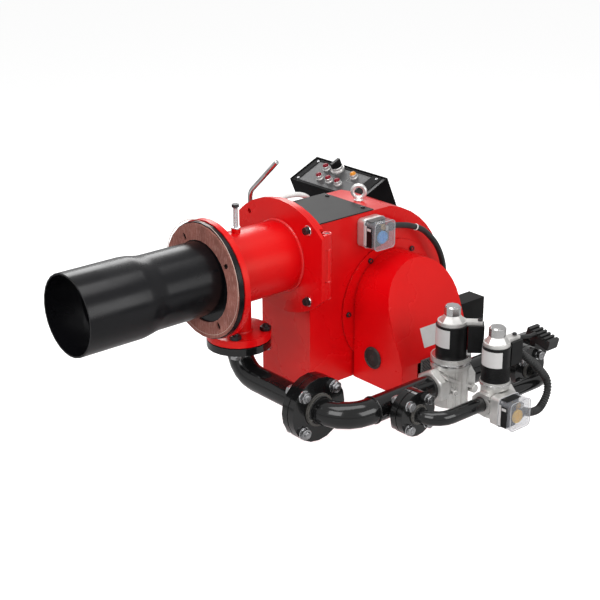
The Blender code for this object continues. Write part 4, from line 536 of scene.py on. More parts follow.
def piece(name, work, finish, body, slot, stands_for=()):
    """Turn a work mesh into a piece of the burner that rides on a body."""
    bmesh.ops.recalc_face_normals(work, faces=work.faces)
    mesh = bpy.data.meshes.new(name)
    work.to_mesh(mesh)
    work.free()
    mesh.materials.append(finish.material)
    made = bpy.data.objects.new(name, mesh)
    bpy.context.scene.collection.objects.link(made)
    smooth(made)
    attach(made, body)
    if stands_for:
        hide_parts(*stands_for)


def turned_piece(name, place, profile, steps, *looks):
    """A piece of one turned shape. Looks are its finish, body, slot (not used) and what it stands for."""
    work = bmesh.new()
    add_lathe(work, place, profile, steps)
    piece(name, work, *looks)


def tube_piece(name, route, radii, steps, *looks, closed=False):
    """A piece of one round bar."""
    work = bmesh.new()
    add_tube(work, route, radii, steps, closed)
    piece(name, work, *looks)


def plate_piece(name, plates, *looks):
    """A piece of thin plates, each with its place and sizes."""
    work = bmesh.new()
    for plate in plates:
        add_plate(work, *plate)
    piece(name, work, *looks)


# Bolts, nuts and washers

line_bolt_circle = 0.05
branch_bolt_circle = 0.0325
line_nut_across = 0.0192
branch_nut_across = 0.0162
nut_height = 0.0078
line_thread = 0.0061
branch_thread = 0.0051
thread_tail = 0.0042
head_button = 0.004
head_rise = 0.0002
washer_height = 0.0016
line_washer = 0.0117
branch_washer = 0.0098
plate_washer_height = 0.0022
nut_gap = 0.0001
line_stack = 0.0302
branch_stack = 0.0284
bolt_turn = math.radians(45)


def bolt_end(work, place, across, height, thread, tail):
    """A nut with the end of its bolt standing out."""
    add_hexagon(work, place, across, height, height * 0.16)
    top = height + tail
    profile = [(0, height * 0.5), (thread, height * 0.5)]
    for index in range(10):
        profile.append((thread * (1.0 if index % 2 else 0.92), height + tail * 0.85 * index / 10))
    profile += [(thread * 0.94, top - thread * 0.12), (thread * 0.8, top), (0, top)]
    add_lathe(work, place, profile)


def fasteners(name, places, direction, finish, across, height, thread, tail, washer=0.0):
    """A set of nuts, one mesh, on bright washers of a radius where asked."""
    work = bmesh.new()
    rings = bmesh.new()
    for index, place in enumerate(places):
        spot = facing(place, direction, 0.35 * index)
        if washer:
            add_washer(rings, spot, washer, washer_height, thread * 0.8)
            spot = spot @ Matrix.Translation((0, 0, washer_height))
        bolt_end(work, spot, across, height, thread, tail)
    if washer:
        piece(name + "_washers", rings, chrome, "burner", "steel")
    else:
        rings.free()
    piece(name, work, finish, "burner", "steel")


def flange_set(name, centre, direction, circle, *sizes):
    """Four nuts or heads on a flange's bolt circle."""
    places = []
    for index in range(4):
        u, v, _ = circle_point(circle, bolt_turn + math.tau * index / 4)
        places.append(Vector(centre) + Vector((u, v, 0) if direction[2] else (u, 0, v)))
    fasteners(name, places, direction, *sizes)


flange_set("line_flange_nuts", (stub_x, train_flange_front - nut_gap, train_z), to_near, line_bolt_circle,
           worn_steel, line_nut_across, nut_height, line_thread, thread_tail, line_washer)
flange_set("line_flange_heads", (stub_x, train_flange_front + line_stack, train_z), to_far, line_bolt_circle,
           steel, line_nut_across, nut_height, head_button, head_rise)
flange_set("stub_flange_nuts", (stub_x, 0, stub_flange_top + nut_gap), upward, line_bolt_circle,
           dark_steel, line_nut_across, nut_height, line_thread, thread_tail)
flange_set("stub_flange_heads", (stub_x, 0, stub_flange_top - line_stack), downward, line_bolt_circle,
           steel, line_nut_across, nut_height, head_button, head_rise)
for side_name, branch_x in branch_sides:
    flange_set(side_name + "_branch_heads", (branch_x, branch_flange_front - nut_gap, train_z), to_near,
               branch_bolt_circle, worn_steel, branch_nut_across, nut_height, head_button, head_rise,
               branch_washer)
    flange_set(side_name + "_branch_nuts", (branch_x, branch_flange_front + branch_stack, train_z), to_far,
               branch_bolt_circle, steel, branch_nut_across, nut_height, branch_thread, thread_tail)

plate_washers = bmesh.new()
plate_bolts = []
for rise in (plate_bolt_rise, -plate_bolt_rise):
    place = Vector((plate_front - nut_gap, -plate_bolt_side, rise))
    add_washer(plate_washers, facing(place, to_flame), 0.0098, plate_washer_height, 0.004)
    plate_bolts.append(place - Vector((plate_washer_height, 0, 0)))
piece("plate_washers", plate_washers, chrome, "burner", "steel")
fasteners("plate_bolts", plate_bolts, to_flame, dark_steel, 0.0136, 0.0068, 0.003, head_rise)

# Weld beads

bead_step = 0.0022
ripple_length = 0.0066
red_bead = (weld_red, "burner", "red_paint")
black_bead = (weld_black, "burner", "black_paint")
hub_rise = 0.0042


def weld(name, place, direction, radius, thickness, looks, ripple=0.18):
    """A bead with overlapping ripples round a joint."""
    count = max(48, round(math.tau * radius / bead_step))
    ripples = max(12, round(math.tau * radius / ripple_length))
    radii = []
    for index in range(count):
        phase = (index * ripples / count) % 1.0
        radii.append(thickness * (1 + ripple * (phase - 0.5) + 0.08 * math.sin(index * 1.7)))
    tube_piece(name, ring_route(facing(place, direction), radius, count), radii, 10, *looks, closed=True)


weld("sleeve_plate_weld", (plate_front - 0.0008, 0, 0), to_flame, sleeve_radius + 0.0006, 0.003, red_bead)
weld("sleeve_flange_weld", (sleeve_start + 0.0008, 0, 0), to_back, sleeve_radius + 0.0004, 0.0024, red_bead)
weld("stub_flange_weld", (stub_x, 0, stub_flange_top + 0.0006), upward, pipe_radius + 0.0004, 0.0021,
     red_bead)
weld("line_hub_weld", (stub_x, train_flange_front - hub_rise, train_z), to_near, pipe_radius + 0.0006,
     0.0018, black_bead)
weld("elbow_hub_weld", (stub_x, train_flange_front + 0.0342, train_z), to_far, pipe_radius + 0.0006, 0.0018,
     black_bead)
weld("main_pipe_weld", (0.152, train_y, train_z), to_back, pipe_radius + 0.0006, 0.0013, black_bead, 0.3)
for side_name, branch_x in branch_sides:
    weld(side_name + "_branch_weld", (branch_x, branch_flange_front - hub_rise, train_z), to_near,
         branch_radius + 0.0005, 0.0014, black_bead)

# Hubs, hinge, clamp screw, lever and eye bolt


def hub(name, place, radius, height, bore):
    """The raised hub where a pipe enters its flange."""
    edge = height * 0.3
    profile = [(bore, 0), (radius, 0), (radius, height - edge), (radius - edge, height), (bore, height)]
    turned_piece(name, facing(place, to_near), profile, round_steps, hub_grey, "burner", "black_paint")


hub("line_hub", (stub_x, train_flange_front, train_z), 0.0312, 0.0043, pipe_radius)
for side_name, branch_x in branch_sides:
    hub(side_name + "_branch_hub", (branch_x, branch_flange_front, train_z), 0.0188, hub_rise, branch_radius)

hinge_top = 0.066
hinge_bottom = -0.058
hinge_levels = (hinge_top, 0.037, -0.025, hinge_bottom)
pin_bottom = (hinge_x, -hinge_side, hinge_bottom - 0.002)
pin_length = hinge_top - hinge_bottom + 0.0024
# Painted shade: a black pin fills the barrel so that its top reads as the shaded hole there.
turned_piece("hinge_pin_shade", facing(pin_bottom, upward), rod_profile(0.0046, pin_length), small_steps,
             coil_black, "burner", "steel", ("hinge_pin",))
beads = bmesh.new()
for level in hinge_levels:
    add_ring(beads, facing((hinge_x, -hinge_side, level), upward), hinge_radius - 0.0012, 0.0016, 32)
piece("hinge_beads", beads, *red_bead)
plate_piece("hinge_leaf", [(facing((0.1942, -0.112, 0.006), to_near), 0.0068, 0.0605, 0.006, 0.0004)],
            red, "burner", "red_paint")

screw_x = 0.081
boss_top = 0.075
screw_top = 0.1158
screw_height = screw_top - boss_top
thread_pitch = 0.0012
clamp_rows = [(0, 0), (0.0088, 0), (0.0092, 0.0005), (0.0092, 0.0022), (0.008, 0.0031), (0.0046, 0.0033)]
level = 0.0033
while level < screw_height:
    clamp_rows += [(0.0046, level), (0.0042, level + thread_pitch / 2)]
    level += thread_pitch
clamp_rows += [(0.0044, screw_height), (0, screw_height)]
turned_piece("clamp_screw", facing((screw_x, 0, boss_top + nut_gap), upward), clamp_rows, small_steps,
             chrome, "lance_screw", "steel", ("set_screw",))
clamp_head = bmesh.new()
add_hexagon(clamp_head, facing((screw_x, 0, screw_top), upward, 0.4), 0.0135, 0.0055, 0.0009)
piece("clamp_screw_head", clamp_head, dark_steel, "lance_screw", "steel")

lever_rise = 0.0285
lever_tilt = math.radians(43)
lever_length = 0.112
lever_radius = 0.0047
lever_bend = 0.013


def lever():
    """The chromed rod, bent over in a smooth curve, with a turned end."""
    bend = Vector((hinge_x, hinge_side, hinge_top + lever_rise))
    lean = Vector((0, -math.cos(lever_tilt), math.sin(lever_tilt)))
    route = [Vector((hinge_x, hinge_side, hinge_bottom - 0.004)),
             Vector((hinge_x, hinge_side, hinge_top - 0.02))]
    start = bend - Vector((0, 0, lever_bend))
    end = bend + lean * lever_bend
    for index in range(13):
        share = index / 12
        route.append(start * (1 - share) ** 2 + bend * 2 * share * (1 - share) + end * share ** 2)
    tip = bend + lean * lever_length
    route += [tip - lean * 0.002, tip - lean * 0.0006, tip]
    radii = [lever_radius * 0.92] * 2 + [lever_radius] * 14 + [lever_radius * 0.9, lever_radius * 0.6]
    tube_piece("lever_rod", route, radii, small_steps, lever_grip, "lever", "chrome", ("locking_lever",))


lever()

eye_x = 0.385
eye_foot = [(0, 0), (0.009, 0), (0.009, 0.0012), (0.0078, 0.0022), (0.006, 0.0036), (0.0048, 0.0048),
            (0, 0.0048)]
eye_ring_z = 0.0838
eye = bmesh.new()
add_lathe(eye, facing((eye_x, 0, housing_top + 0.0003), upward), eye_foot, round_steps)
eye_turn = Matrix.Rotation(math.radians(-50), 4, "Z") @ Matrix.Rotation(math.tau / 4, 4, "X")
add_ring(eye, Matrix.Translation((eye_x, 0, eye_ring_z)) @ eye_turn, 0.0124, 0.004, 64, 20)
piece("eye_ring", eye, eye_metal, "housing", "chrome", ("eye_bolt",))

# Screws of the inlet ring and of the top cover, and the hood's plug


def cap_screw(work, place, radius, height):
    """A cylinder screw head with a sunk socket."""
    add_lathe(work, place, [(0, 0), (radius, 0), (radius, height * 0.8), (radius * 0.88, height),
                            (radius * 0.5, height), (radius * 0.42, height * 0.4), (0, height * 0.4)])


ring_screw_circle = 0.1117
ring_screw_seat = -0.0693
ring_screws = bmesh.new()
for index in range(6):
    offset = circle_point(ring_screw_circle, math.tau * index / 6)
    spot = (scroll_x + offset.x, ring_screw_seat, scroll_z + offset.y)
    cap_screw(ring_screws, facing(spot, to_near), 0.0052, 0.0042)
piece("inlet_ring_screws", ring_screws, dark_steel, "housing", "steel")

cover_screws = bmesh.new()
for x in (0.214, 0.353):
    for y in (-0.046, 0.056):
        cap_screw(cover_screws, facing((x, y, housing_top + 0.0023), upward), 0.0042, 0.003)
piece("top_cover_screws", cover_screws, dark_steel, "housing", "steel")

plug_profile = [(0, 0), (0.0218, 0), (0.0224, 0.0016), (0.0214, 0.0032), (0.018, 0.004), (0.0172, 0.0028),
                (0.006, 0.0026), (0.005, 0.0034), (0, 0.0036)]
turned_piece("hood_plug_face", facing((hood_x - hood_radius - nut_gap, -0.124, -0.206), to_flame),
             plug_profile, round_steps, plug_rubber, "housing", "seal")

# Label and grille of the air hood

label_x = 0.4035
label_z = -0.164
label_y = hood_front + hood_face_slope * (label_z - hood_fold_z)
face_normal = Vector((0, -1, hood_face_slope)).normalized()
face_up = Vector((0, hood_face_slope, 1)).normalized()
face_side = face_up.cross(face_normal)
label_turn = Matrix((face_side, face_up, face_normal)).transposed().to_4x4()
label_spot = Matrix.Translation(Vector((label_x, label_y, label_z)) + face_normal * 0.0001) @ label_turn
plate_piece("hood_label", [(label_spot, 0.05, 0.0385, 0.0004)], label_silver, "housing", "red_paint")

grille_middle = Vector((0.405, -0.2031, -0.229))
grille_width = 0.084
grille_height = 0.056
grille_pitch = 0.0065
grille_bar = 0.0009
grille_rim = 0.0016


def grille():
    """Expanded metal in a thin frame over the hood's air inlet."""
    work = bmesh.new()
    half_width = grille_width / 2
    half_height = grille_height / 2
    reach = half_width + half_height
    for lean in (1, -1):
        for index in range(1, int(2 * reach / grille_pitch)):
            offset = index * grille_pitch - reach
            crossings = [(u, lean * u + offset) for u in (-half_width, half_width)]
            crossings += [(lean * (v - offset), v) for v in (-half_height, half_height)]
            ends = [Vector((u, 0, v)) for u, v in crossings
                    if abs(u) <= half_width + 1e-6 and abs(v) <= half_height + 1e-6]
            ends.sort(key=lambda end: end.x)
            if len(ends) >= 2 and (ends[-1] - ends[0]).length > grille_pitch / 2:
                add_tube(work, [grille_middle + ends[0], grille_middle + ends[-1]], [grille_bar] * 2, 6)
    for u, v, across, tall in ((0, half_height, grille_width, grille_rim),
                               (0, -half_height, grille_width, grille_rim),
                               (-half_width, 0, grille_rim, grille_height),
                               (half_width, 0, grille_rim, grille_height)):
        add_plate(work, facing(grille_middle + Vector((u, 0.0006, v)), to_near), across + grille_rim, tall,
                  0.0022, 0.0004)
    piece("inlet_grille_mesh", work, mesh_grey, "housing", "black_paint")


grille()
# Painted shade: a near-black sheet behind the mesh stands for the shaded inside of the air inlet.
plate_piece("inlet_grille_shade", [(facing(grille_middle + Vector((0, 0.0004, 0)), to_near), grille_width,
                                   grille_height, 0.0003)], mesh_back_shade, "housing", "black_paint")

# Solenoid valves

front_angle = math.radians(222.6)
cast_looks = (cast, "burner", "cast_aluminium")
coil_looks = (coil_black, "burner", "coil_plastic")


def add_band(work, centre, radius, start, end, low, high, thickness):
    """A curved strip that lies on a round body, between two angles."""
    count = 28
    rows = []
    for index in range(count + 1):
        angle = start + (end - start) * index / count
        corners = ((radius, low), (radius + thickness, low), (radius + thickness, high), (radius, high))
        rows.append([work.verts.new(centre + circle_point(reach, angle, level)) for reach, level in corners])
    for lower, upper in zip(rows, rows[1:]):
        ring_faces(work, lower, upper)
    work.faces.new(rows[0])
    work.faces.new(rows[-1])


def dress_valve(prefix, y, turn, coil, ring, plate_top, label):
    """Label, ring steps, ear screw and coil rim of one valve.

    The coil is (radius, low, top), the ring (radius, low), the label (from, to, low, high).
    """
    centre = Vector((valve_x, y, 0))
    coil_radius, coil_low, coil_top = coil
    ring_radius, ring_low = ring
    label_from, label_to, label_low, label_high = label
    label_work = bmesh.new()
    add_band(label_work, centre, coil_radius, front_angle + math.radians(label_from),
             front_angle + math.radians(label_to), label_low, label_high, 0.0004)
    piece(prefix + "_label", label_work, label_white, "burner", "coil_plastic")
    steps = ((-0.004, 0), (-0.0014, 0), (-0.0014, 0.003), (0.0006, 0.0038), (0.001, 0.0058),
             (0.0002, 0.0072), (-0.0022, 0.0078), (-0.0026, 0.0092), (-0.0006, 0.0104), (-0.0004, 0.0118),
             (-0.002, 0.0126))
    rows = [(ring_radius + step, height) for step, height in steps]
    rows += [(coil_radius * 0.9, 0.0128), (coil_radius * 0.9, 0)]
    scale = (coil_low - ring_low) / 0.0128
    turned_piece(prefix + "_ring", facing((valve_x, y, ring_low), upward),
                 [(radius, height * scale) for radius, height in rows], large_steps,
                 bright_cast, "burner", "cast_aluminium")
    ear = bmesh.new()
    ear_spot = centre + circle_point(coil_radius + 0.0215, turn, plate_top)
    cap_screw(ear, facing(ear_spot, upward), 0.0042, 0.0036)
    piece(prefix + "_ear_screw", ear, dark_steel, "burner", "steel")
    turned_piece(prefix + "_coil_rim", facing((valve_x, y, coil_top - 0.0022), upward),
                 [(coil_radius - 0.003, 0), (coil_radius + 0.0007, 0.0002), (coil_radius + 0.0007, 0.0019),
                  (coil_radius - 0.0005, 0.0024), (coil_radius - 0.003, 0.0024)], large_steps, *coil_looks)


dress_valve("main_valve", train_y, math.radians(-45), coil=(0.029, -0.1542, -0.094), ring=(0.0375, -0.1748),
            plate_top=-0.0871, label=(-150, -6, -0.133, -0.098))
dress_valve("start_valve", pilot_y, 0, coil=(0.0252, -0.1668, -0.1018), ring=(0.0278, -0.1757),
            plate_top=-0.0949, label=(-130, 24, -0.137, -0.107))

rib_profile = [(0.024, 0), (0.0256, 0.0003), (0.0258, 0.0011), (0.0256, 0.0019), (0.024, 0.0022)]
ribs = bmesh.new()
for index in range(8):
    add_lathe(ribs, facing((valve_x, pilot_y, -0.1655 + index * 0.0031), upward), rib_profile, large_steps)
piece("start_valve_coil_ribs", ribs, *coil_looks)

# Painted highlight: a light ring along the boiler gasket's front edge

gasket_rim_highlight = bmesh.new()
add_ring(gasket_rim_highlight, facing((0.0004, 0, 0), to_flame), 0.1066, 0.0006, large_steps)
piece("gasket_painted_highlight", gasket_rim_highlight, gasket_edge_highlight, "burner", "gasket_fibre")

# Casting of the main valve


def cast_details():
    """Draft lines, screw boss, ridge and ports of the main valve's casting."""
    work = bmesh.new()
    axis = Vector((valve_x, train_y, 0))
    draft_low = -0.246
    taper = Vector((0, 0, 0.002))
    for offset, share in ((-0.1, 1.0), (0.22, 1.0), (0.38, 1.0), (0.72, 1.0), (1.15, 1.0), (-0.9, 0.6),
                          (2.2, 1.0), (3.0, 1.0), (3.8, 1.0)):
        low = axis + circle_point(0.0343, front_angle + offset, draft_low)
        high = low + Vector((0, 0, 0.07 * share))
        add_tube(work, [low, low + taper, high - taper, high], [0.0005, 0.0013, 0.0013, 0.0005], 8)
    boss = circle_point(1, math.radians(-120))
    add_lathe(work, facing(axis + boss * 0.033 + Vector((0, 0, -0.2175)), boss),
              [(0, 0), (0.0068, 0), (0.0062, 0.0068), (0.0052, 0.0078), (0.0034, 0.0078), (0.003, 0.0056),
               (0, 0.0056)])
    ridge = []
    for index in range(13):
        share = index / 12
        ridge.append(axis + circle_point(0.035, math.radians(-196 + 76 * share),
                                         -0.185 - 0.031 * share ** 1.3))
    add_tube(work, ridge, [0.0034] * len(ridge), 10)
    add_hexagon(work, facing((0.294, train_y, train_z), to_back), 0.059, 0.026, 0.003)
    add_lathe(work, facing((0.381, -0.3, -0.2228), to_near),
              [(0, 0), (0.008, 0), (0.008, 0.0248), (0.007, 0.0262), (0, 0.0262)])
    piece("main_valve_draft_ribs", work, *cast_looks)


cast_details()

# Cables: corrugated and plain

gland_length = 0.011
air_start = (0.3737, -0.099, 0.039)
air_end = (0.5315, -0.1362, -0.15)
air_route = smooth_route([(0.374, -0.099, 0.039), (0.382, -0.0985, 0.0388), (0.4, -0.097, 0.036),
                          (0.433, -0.095, 0.027), (0.468, -0.095, 0.011), (0.4975, -0.095, -0.016),
                          (0.5156, -0.095, -0.042), (0.527, -0.095, -0.07), (0.5315, -0.096, -0.1),
                          (0.5315, -0.1, -0.13), (0.5315, -0.12, -0.149), air_end], 0.003)
gas_route = smooth_route([(0.405, -0.399, -0.136), (0.415, -0.399, -0.136), (0.446, -0.413, -0.166),
                          (0.466, -0.4225, -0.196), (0.462, -0.428, -0.222), (0.436, -0.434, -0.24),
                          (0.4, -0.442, -0.234), (0.382, -0.442, -0.226), (0.3706, -0.442, -0.226)],
                         0.00125)
valve_route = smooth_route([(0.3915, -0.3315, -0.135), (0.398, -0.338, -0.1345), (0.425, -0.356, -0.125),
                            (0.46, -0.361, -0.129), (0.486, -0.36, -0.135), (0.495, -0.36, -0.135),
                            (0.5028, -0.36, -0.135)], 0.003)
motor_route = smooth_route([(0.454, 0.1, 0.03), (0.4, 0.098, 0.025), (0.352, 0.096, 0.04),
                            (0.328, 0.09, 0.064), (0.3, 0.088, 0.0745), (0.264, 0.088, 0.075),
                            (0.244, 0.095, 0.056), (0.25, 0.105, 0.022), (0.295, 0.12, -0.008),
                            (0.345, 0.142, -0.03), (0.3712, 0.15, -0.042)], 0.004)


def gland(work, place, direction, radius, length=gland_length):
    """A cable gland: a hexagon and a domed nut."""
    spot = facing(place, direction)
    add_hexagon(work, spot, radius * 2, length * 0.45, length * 0.06)
    add_lathe(work, spot, [(0, length * 0.4), (radius * 0.88, length * 0.4), (radius * 0.88, length * 0.8),
                           (radius * 0.7, length), (0, length)])


tube_piece("air_switch_cable", air_route, [0.0058] * len(air_route), 20, cable_black, "housing", "conduit",
           ("air_switch_conduit",))
tie_at = len(air_route) // 4
turned_piece("air_cable_tie", facing(air_route[tie_at], air_route[tie_at + 1] - air_route[tie_at]),
             [(0.0057, 0), (0.0066, 0), (0.0068, 0.0012), (0.0066, 0.0026), (0.0057, 0.0026)], small_steps,
             wire_white, "housing", "conduit")
folds = (0.0076, 0.0076, 0.006, 0.006)
tube_piece("gas_switch_corrugated", gas_route, [folds[index % 4] for index in range(len(gas_route))], 20,
           cable_black, "burner", "conduit", ("gas_switch_conduit",))
valve_wire = bmesh.new()
add_tube(valve_wire, valve_route, [0.004] * len(valve_route), 16)
gland(valve_wire, (0.3914, -0.3314, -0.135), (1, -1, 0), 0.0075, 0.01)
piece("main_valve_wire", valve_wire, cable_black, "burner", "conduit", ("main_valve_cable",))
gas_glands = bmesh.new()
gland(gas_glands, (0.4046, -0.399, -0.136), to_back, 0.0088)
gland(gas_glands, (0.3696, -0.442, -0.226), to_back, 0.0086)
piece("gas_cable_glands", gas_glands, coil_black, "burner", "conduit")
air_glands = bmesh.new()
gland(air_glands, air_start, to_back, 0.008)
gland(air_glands, air_end, to_far, 0.008)
piece("air_cable_glands", air_glands, coil_black, "housing", "conduit")

# Pressure switches


def add_cover_highlight(work, place, width, height, radius):
    """A light grey round rim along a clear cover's edge: painted highlight."""
    outline = round_outline(width, height, 0.008)
    add_tube(work, [place @ Vector((u, v, 0)) for u, v in outline], [radius] * len(outline), 8, closed=True)


def dress_switch(prefix, x, seat, z, body, dial_body, dial_finish, dial_slot):
    """Inside, labels, painted highlight rims on the cover's edges, and dial of one pressure switch."""
    front = seat - 0.018
    left = x - 0.0267
    top = z + 0.0277

    def near(u, out, v):
        """A frame that looks to the near side, at an offset from the front's middle."""
        return facing((x + u, front - out, z + v), to_near)

    def side(out, v):
        """A frame that looks to the flame's side, on the left face."""
        return facing((left, front - out, z + v), to_flame)

    plate_piece(prefix + "_inside", [(near(0, 0, 0), 0.046, 0.048, 0.003, 0.005),
                                     (near(0.0165, 0.003, -0.002), 0.01, 0.03, 0.015)],
                board, body, "cast_aluminium")
    plate_piece(prefix + "_black_parts",
                [(near(-0.012, 0.003, -0.002), 0.02, 0.04, 0.018),
                 (side(0.015, -0.002), 0.0135, 0.04, 0.0005),
                 (facing((x - 0.006, front - 0.011, top), upward), 0.036, 0.016, 0.0005)],
                coil_black, body, "coil_plastic")
    earth = bmesh.new()
    add_ring(earth, near(0.003, 0.0215, 0.014), 0.005, 0.0014, 32, 10)
    add_lathe(earth, near(0.003, 0.003, 0.014), rod_profile(0.004, 0.018))
    piece(prefix + "_earth_screw", earth, brass, body, "cast_aluminium")
    plate_piece(prefix + "_white_parts",
                [(side(0.0052, -0.001), 0.0046, 0.04, 0.0006, 0.0004),
                 (facing((left - 0.0005, front - 0.0145, z + 0.0125), to_flame), 0.01, 0.005, 0.0004,
                  0.0004),
                 (near(0.0165, 0.0181, 0.008), 0.006, 0.009, 0.0004, 0.0004)],
                label_white, body, "clear_cover")
    # Painted highlight: light rims on the front and back edges of the cover.
    edges = bmesh.new()
    add_cover_highlight(edges, near(0, 0.0294, 0), 0.0518, 0.0538, 0.0007)
    add_cover_highlight(edges, near(0, 0.0012, 0), 0.053, 0.055, 0.0009)
    piece(prefix + "_cover_highlights", edges, cover_edge_highlight, body, "clear_cover")
    dial = bmesh.new()
    spot = near(0, 0.0163, -0.0055)
    add_lathe(dial, spot, [(0, 0), (0.0124, 0), (0.0124, 0.008), (0.0114, 0.0092), (0, 0.0094)], round_steps)
    add_plate(dial, spot @ Matrix.Translation((0, 0, 0.0093)), 0.003, 0.018, 0.0014, 0.001)
    piece(prefix + "_dial_knob", dial, dial_finish, dial_body, dial_slot, (prefix + "_dial",))
    marks = []
    for index in range(9):
        turn = Matrix.Rotation(math.radians(-120 + 30 * index), 4, "Z")
        marks.append((spot @ turn @ Matrix.Translation((0, 0.01, 0.0092)), 0.0007, 0.0022, 0.0004, 0.0002))
    plate_piece(prefix + "_dial_marks", marks, dial_mark, dial_body, "coil_plastic")
    screws = bmesh.new()
    for u in (-0.0205, 0.0205):
        for v in (-0.0215, 0.0215):
            cap_screw(screws, near(u, 0.003, v), 0.0026, 0.003)
    piece(prefix + "_screws", screws, steel, body, "steel")
    rim = bmesh.new()
    outline = round_outline(0.0534, 0.0554, 0.0082, 8)
    small = round_outline(0.0524, 0.0544, 0.0078, 8)
    add_loft(rim, near(0, -0.0052, 0), [(small, 0), (outline, 0.0006), (outline, 0.0046), (small, 0.0052)])
    piece(prefix + "_base_rim", rim, pale_cast, body, "cast_aluminium")


dress_switch("air_switch", 0.347, housing_near - 0.0003, 0.031, "housing", "air_setting", dial_blue,
             "blue_dial")
dress_switch("gas_switch", 0.343, -0.4198, -0.212, "burner", "gas_setting", dial_yellow, "yellow_dial")

# Console

console_normal = Vector((-math.sin(console_tilt), 0, math.cos(console_tilt)))
console_side = Vector((0, 1, 0))
console_slope = console_side.cross(console_normal)
console_turn = Matrix((console_slope, console_side, console_normal)).transposed().to_4x4()


def console_spot(along, y, height=-console_sink):
    """A frame on the console's tilted face, Z away from it."""
    place = Vector((console_back_x - along * math.cos(console_tilt) - height * math.sin(console_tilt), y,
                    console_back_z - along * math.sin(console_tilt) + height * math.cos(console_tilt)))
    return Matrix.Translation(place) @ console_turn


red_lens = (lens_red, "housing", "red_lens")
orange_lens = (lens_orange, "housing", "orange_lens")
lamps = ((0.024, 0.239, red_lens), (0.055, 0.229, red_lens), (0.055, 0.2, red_lens),
         (0.055, 0.172, red_lens), (0.024, 0.154, orange_lens))
bezel_profile = [(0.005, 0), (0.0084, 0), (0.0084, 0.0026), (0.0073, 0.0032), (0.0073, 0.0088),
                 (0.0067, 0.0096), (0.005, 0.009)]
lens_profile = [(0, 0.001), (0.0052, 0.001), (0.0066, 0.0094), (0.0063, 0.0112), (0.005, 0.013),
                (0.0028, 0.0139), (0, 0.0141)]
bezels = bmesh.new()
for number, (along, y, looks) in enumerate(lamps, 1):
    add_lathe(bezels, console_spot(along, y), bezel_profile, round_steps)
    turned_piece("lamp_lens_%d" % number, console_spot(along, y), lens_profile, round_steps, *looks,
                 ("signal_lamp_%d" % number,))
piece("lamp_bezels", bezels, eye_metal, "housing", "chrome")
selector_profile = [(0.0032, 0), (0.0155, 0), (0.0155, 0.0018), (0.0148, 0.004), (0.0128, 0.0046),
                    (0.0128, 0.0098), (0.012, 0.0104), (0.0118, 0.0046), (0.0032, 0.0044)]
turned_piece("selector_ring", console_spot(0.0165, 0.212), selector_profile, round_steps,
             eye_metal, "housing", "chrome", ("selector_bezel",))
panel_screws = bmesh.new()
for along in (0.01, 0.072):
    for y in (0.1, 0.281):
        cap_screw(panel_screws, console_spot(along, y), 0.003, 0.0018)
piece("console_screws", panel_screws, steel, "housing", "steel")
frame_bars = ((0.042, 0.2855, 0.08, 0.016), (0.042, 0.103, 0.08, 0.027),
              (0.0048, 0.205, 0.0066, 0.172), (0.0792, 0.205, 0.0066, 0.172))
plate_piece("console_panel_frame",
            [(console_spot(along, y, 0.0001 - console_sink), deep, wide, 0.0012, 0.0006)
             for along, y, deep, wide in frame_bars], console_black, "housing", "black_paint")
line_width = 0.0007
panel_lines = ((0.04, 0.144, line_width, 0.04), (0.01, 0.144, line_width, 0.04),
               (0.025, 0.124, 0.03, line_width), (0.025, 0.164, 0.03, line_width))
plate_piece("console_panel_lines",
            [(console_spot(along, y), deep, wide, 0.0003, 0.0002) for along, y, deep, wide in panel_lines],
            label_line, "housing", "dark_grey")

# White motor cable behind the front plate
tube_piece("motor_wire", motor_route, [0.0052] * len(motor_route), 16, wire_white, "housing", "conduit")

# Camera, lights and stage

camera_data = bpy.data.cameras.new("camera")
camera_data.lens = 83.438
camera_data.sensor_width = 36.0
camera_data.clip_end = 30.0
camera = bpy.data.objects.new("camera", camera_data)
bpy.context.scene.collection.objects.link(camera)
look_forward = Vector((0.60683, 0.70722, -0.36276)).normalized()
look_right = Vector((0.75794, -0.65232, -0.00385)).normalized()
look_up = look_right.cross(look_forward).normalized()
turned = Matrix((look_right, look_up, -look_forward)).transposed().to_4x4()
camera.matrix_world = Matrix.Translation((-1.38965, -1.8917, 0.86705)) @ turned
bpy.context.scene.camera = camera
bpy.context.scene.view_settings.view_transform = "Standard"

light_aim = Vector((0.15, -0.1, -0.05))


def softbox(name, place, width, height, power):
    """A soft white area lamp aimed at the burner's middle."""
    data = bpy.data.lights.new(name, "AREA")
    data.shape = "RECTANGLE"
    data.size = width
    data.size_y = height
    data.energy = power
    lamp = bpy.data.objects.new(name, data)
    bpy.context.scene.collection.objects.link(lamp)
    lamp.matrix_world = facing(place, Vector(place) - light_aim)


softbox("top_box", (0.1, -0.35, 1.85), 2.0, 1.0, 20)
softbox("left_box", (-1.6, -0.85, 1.1), 1.2, 1.2, 20)
softbox("front_box", (0.65, -2.1, 0.6), 1.3, 1.0, 15)
softbox("rim_box", (1.1, 1.5, 1.0), 1.2, 0.8, 14)


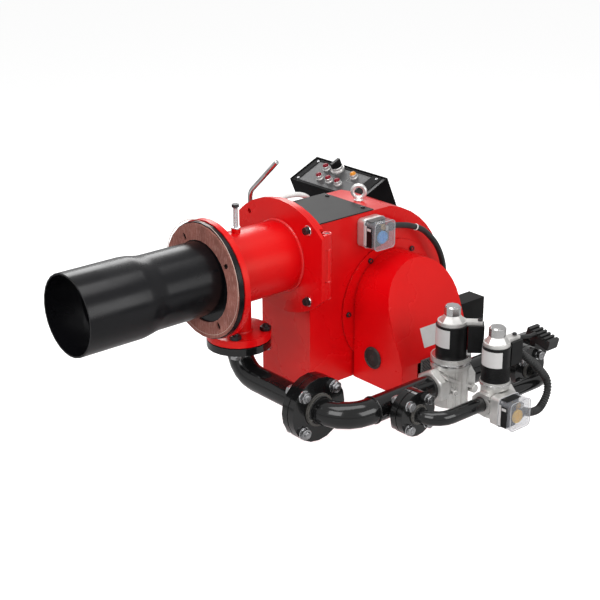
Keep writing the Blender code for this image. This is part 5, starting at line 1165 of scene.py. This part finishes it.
def combine(tree, operation, first, second):
    """A maths node fed by a socket and by another socket or a number."""
    made = tree.nodes.new("ShaderNodeMath")
    made.operation = operation
    tree.links.new(first, made.inputs[0])
    if isinstance(second, float):
        made.inputs[1].default_value = second
    else:
        tree.links.new(second, made.inputs[1])
    return made.outputs["Value"]


def white_world():
    """An even grey room that the camera sees as white, and gloss and glass as lighter."""
    world = bpy.data.worlds.new("room")
    bpy.context.scene.world = world
    world.use_nodes = True
    tree = world.node_tree
    background = tree.nodes["Background"]
    background.inputs["Color"].default_value = (1, 1, 1, 1)
    path = tree.nodes.new("ShaderNodeLightPath")
    either = combine(tree, "MAXIMUM", path.outputs["Is Glossy Ray"], path.outputs["Is Transmission Ray"])
    mirrored = combine(tree, "MULTIPLY", either, 0.4)
    strength = tree.nodes.new("ShaderNodeMapRange")
    strength.inputs["To Min"].default_value = 0.36
    strength.inputs["To Max"].default_value = 1.0
    seen = combine(tree, "MAXIMUM", path.outputs["Is Camera Ray"], mirrored)
    tree.links.new(seen, strength.inputs["Value"])
    tree.links.new(strength.outputs["Result"], background.inputs["Strength"])


def floor():
    """A white floor below the burner, which hangs on its flange."""
    work = bmesh.new()
    half = 6.0
    level = -0.42
    corners = ((-half, -half), (half, -half), (half, half), (-half, half))
    work.faces.new([work.verts.new((x, y, level)) for x, y in corners])
    mesh = bpy.data.meshes.new("floor")
    work.to_mesh(mesh)
    work.free()
    made = bpy.data.objects.new("floor", mesh)
    bpy.context.scene.collection.objects.link(made)
    white = Finish("floor_white", (0.82, 0.82, 0.82), 0.9)
    white.set(Specular_IOR_Level=0.0, Emission_Color=(1, 1, 1, 1))
    path = white.node("ShaderNodeLightPath")
    glow = white.remap(path.outputs["Is Camera Ray"], 0, 1, 0, 0.66)
    white.link(glow, white.shader.inputs["Emission Strength"])
    mirrored = white.remap(path.outputs["Is Glossy Ray"], 0, 1, 0.82, 0.58)
    white.link(mirrored, white.shader.inputs["Base Color"])
    mesh.materials.append(white.material)


white_world()
floor()
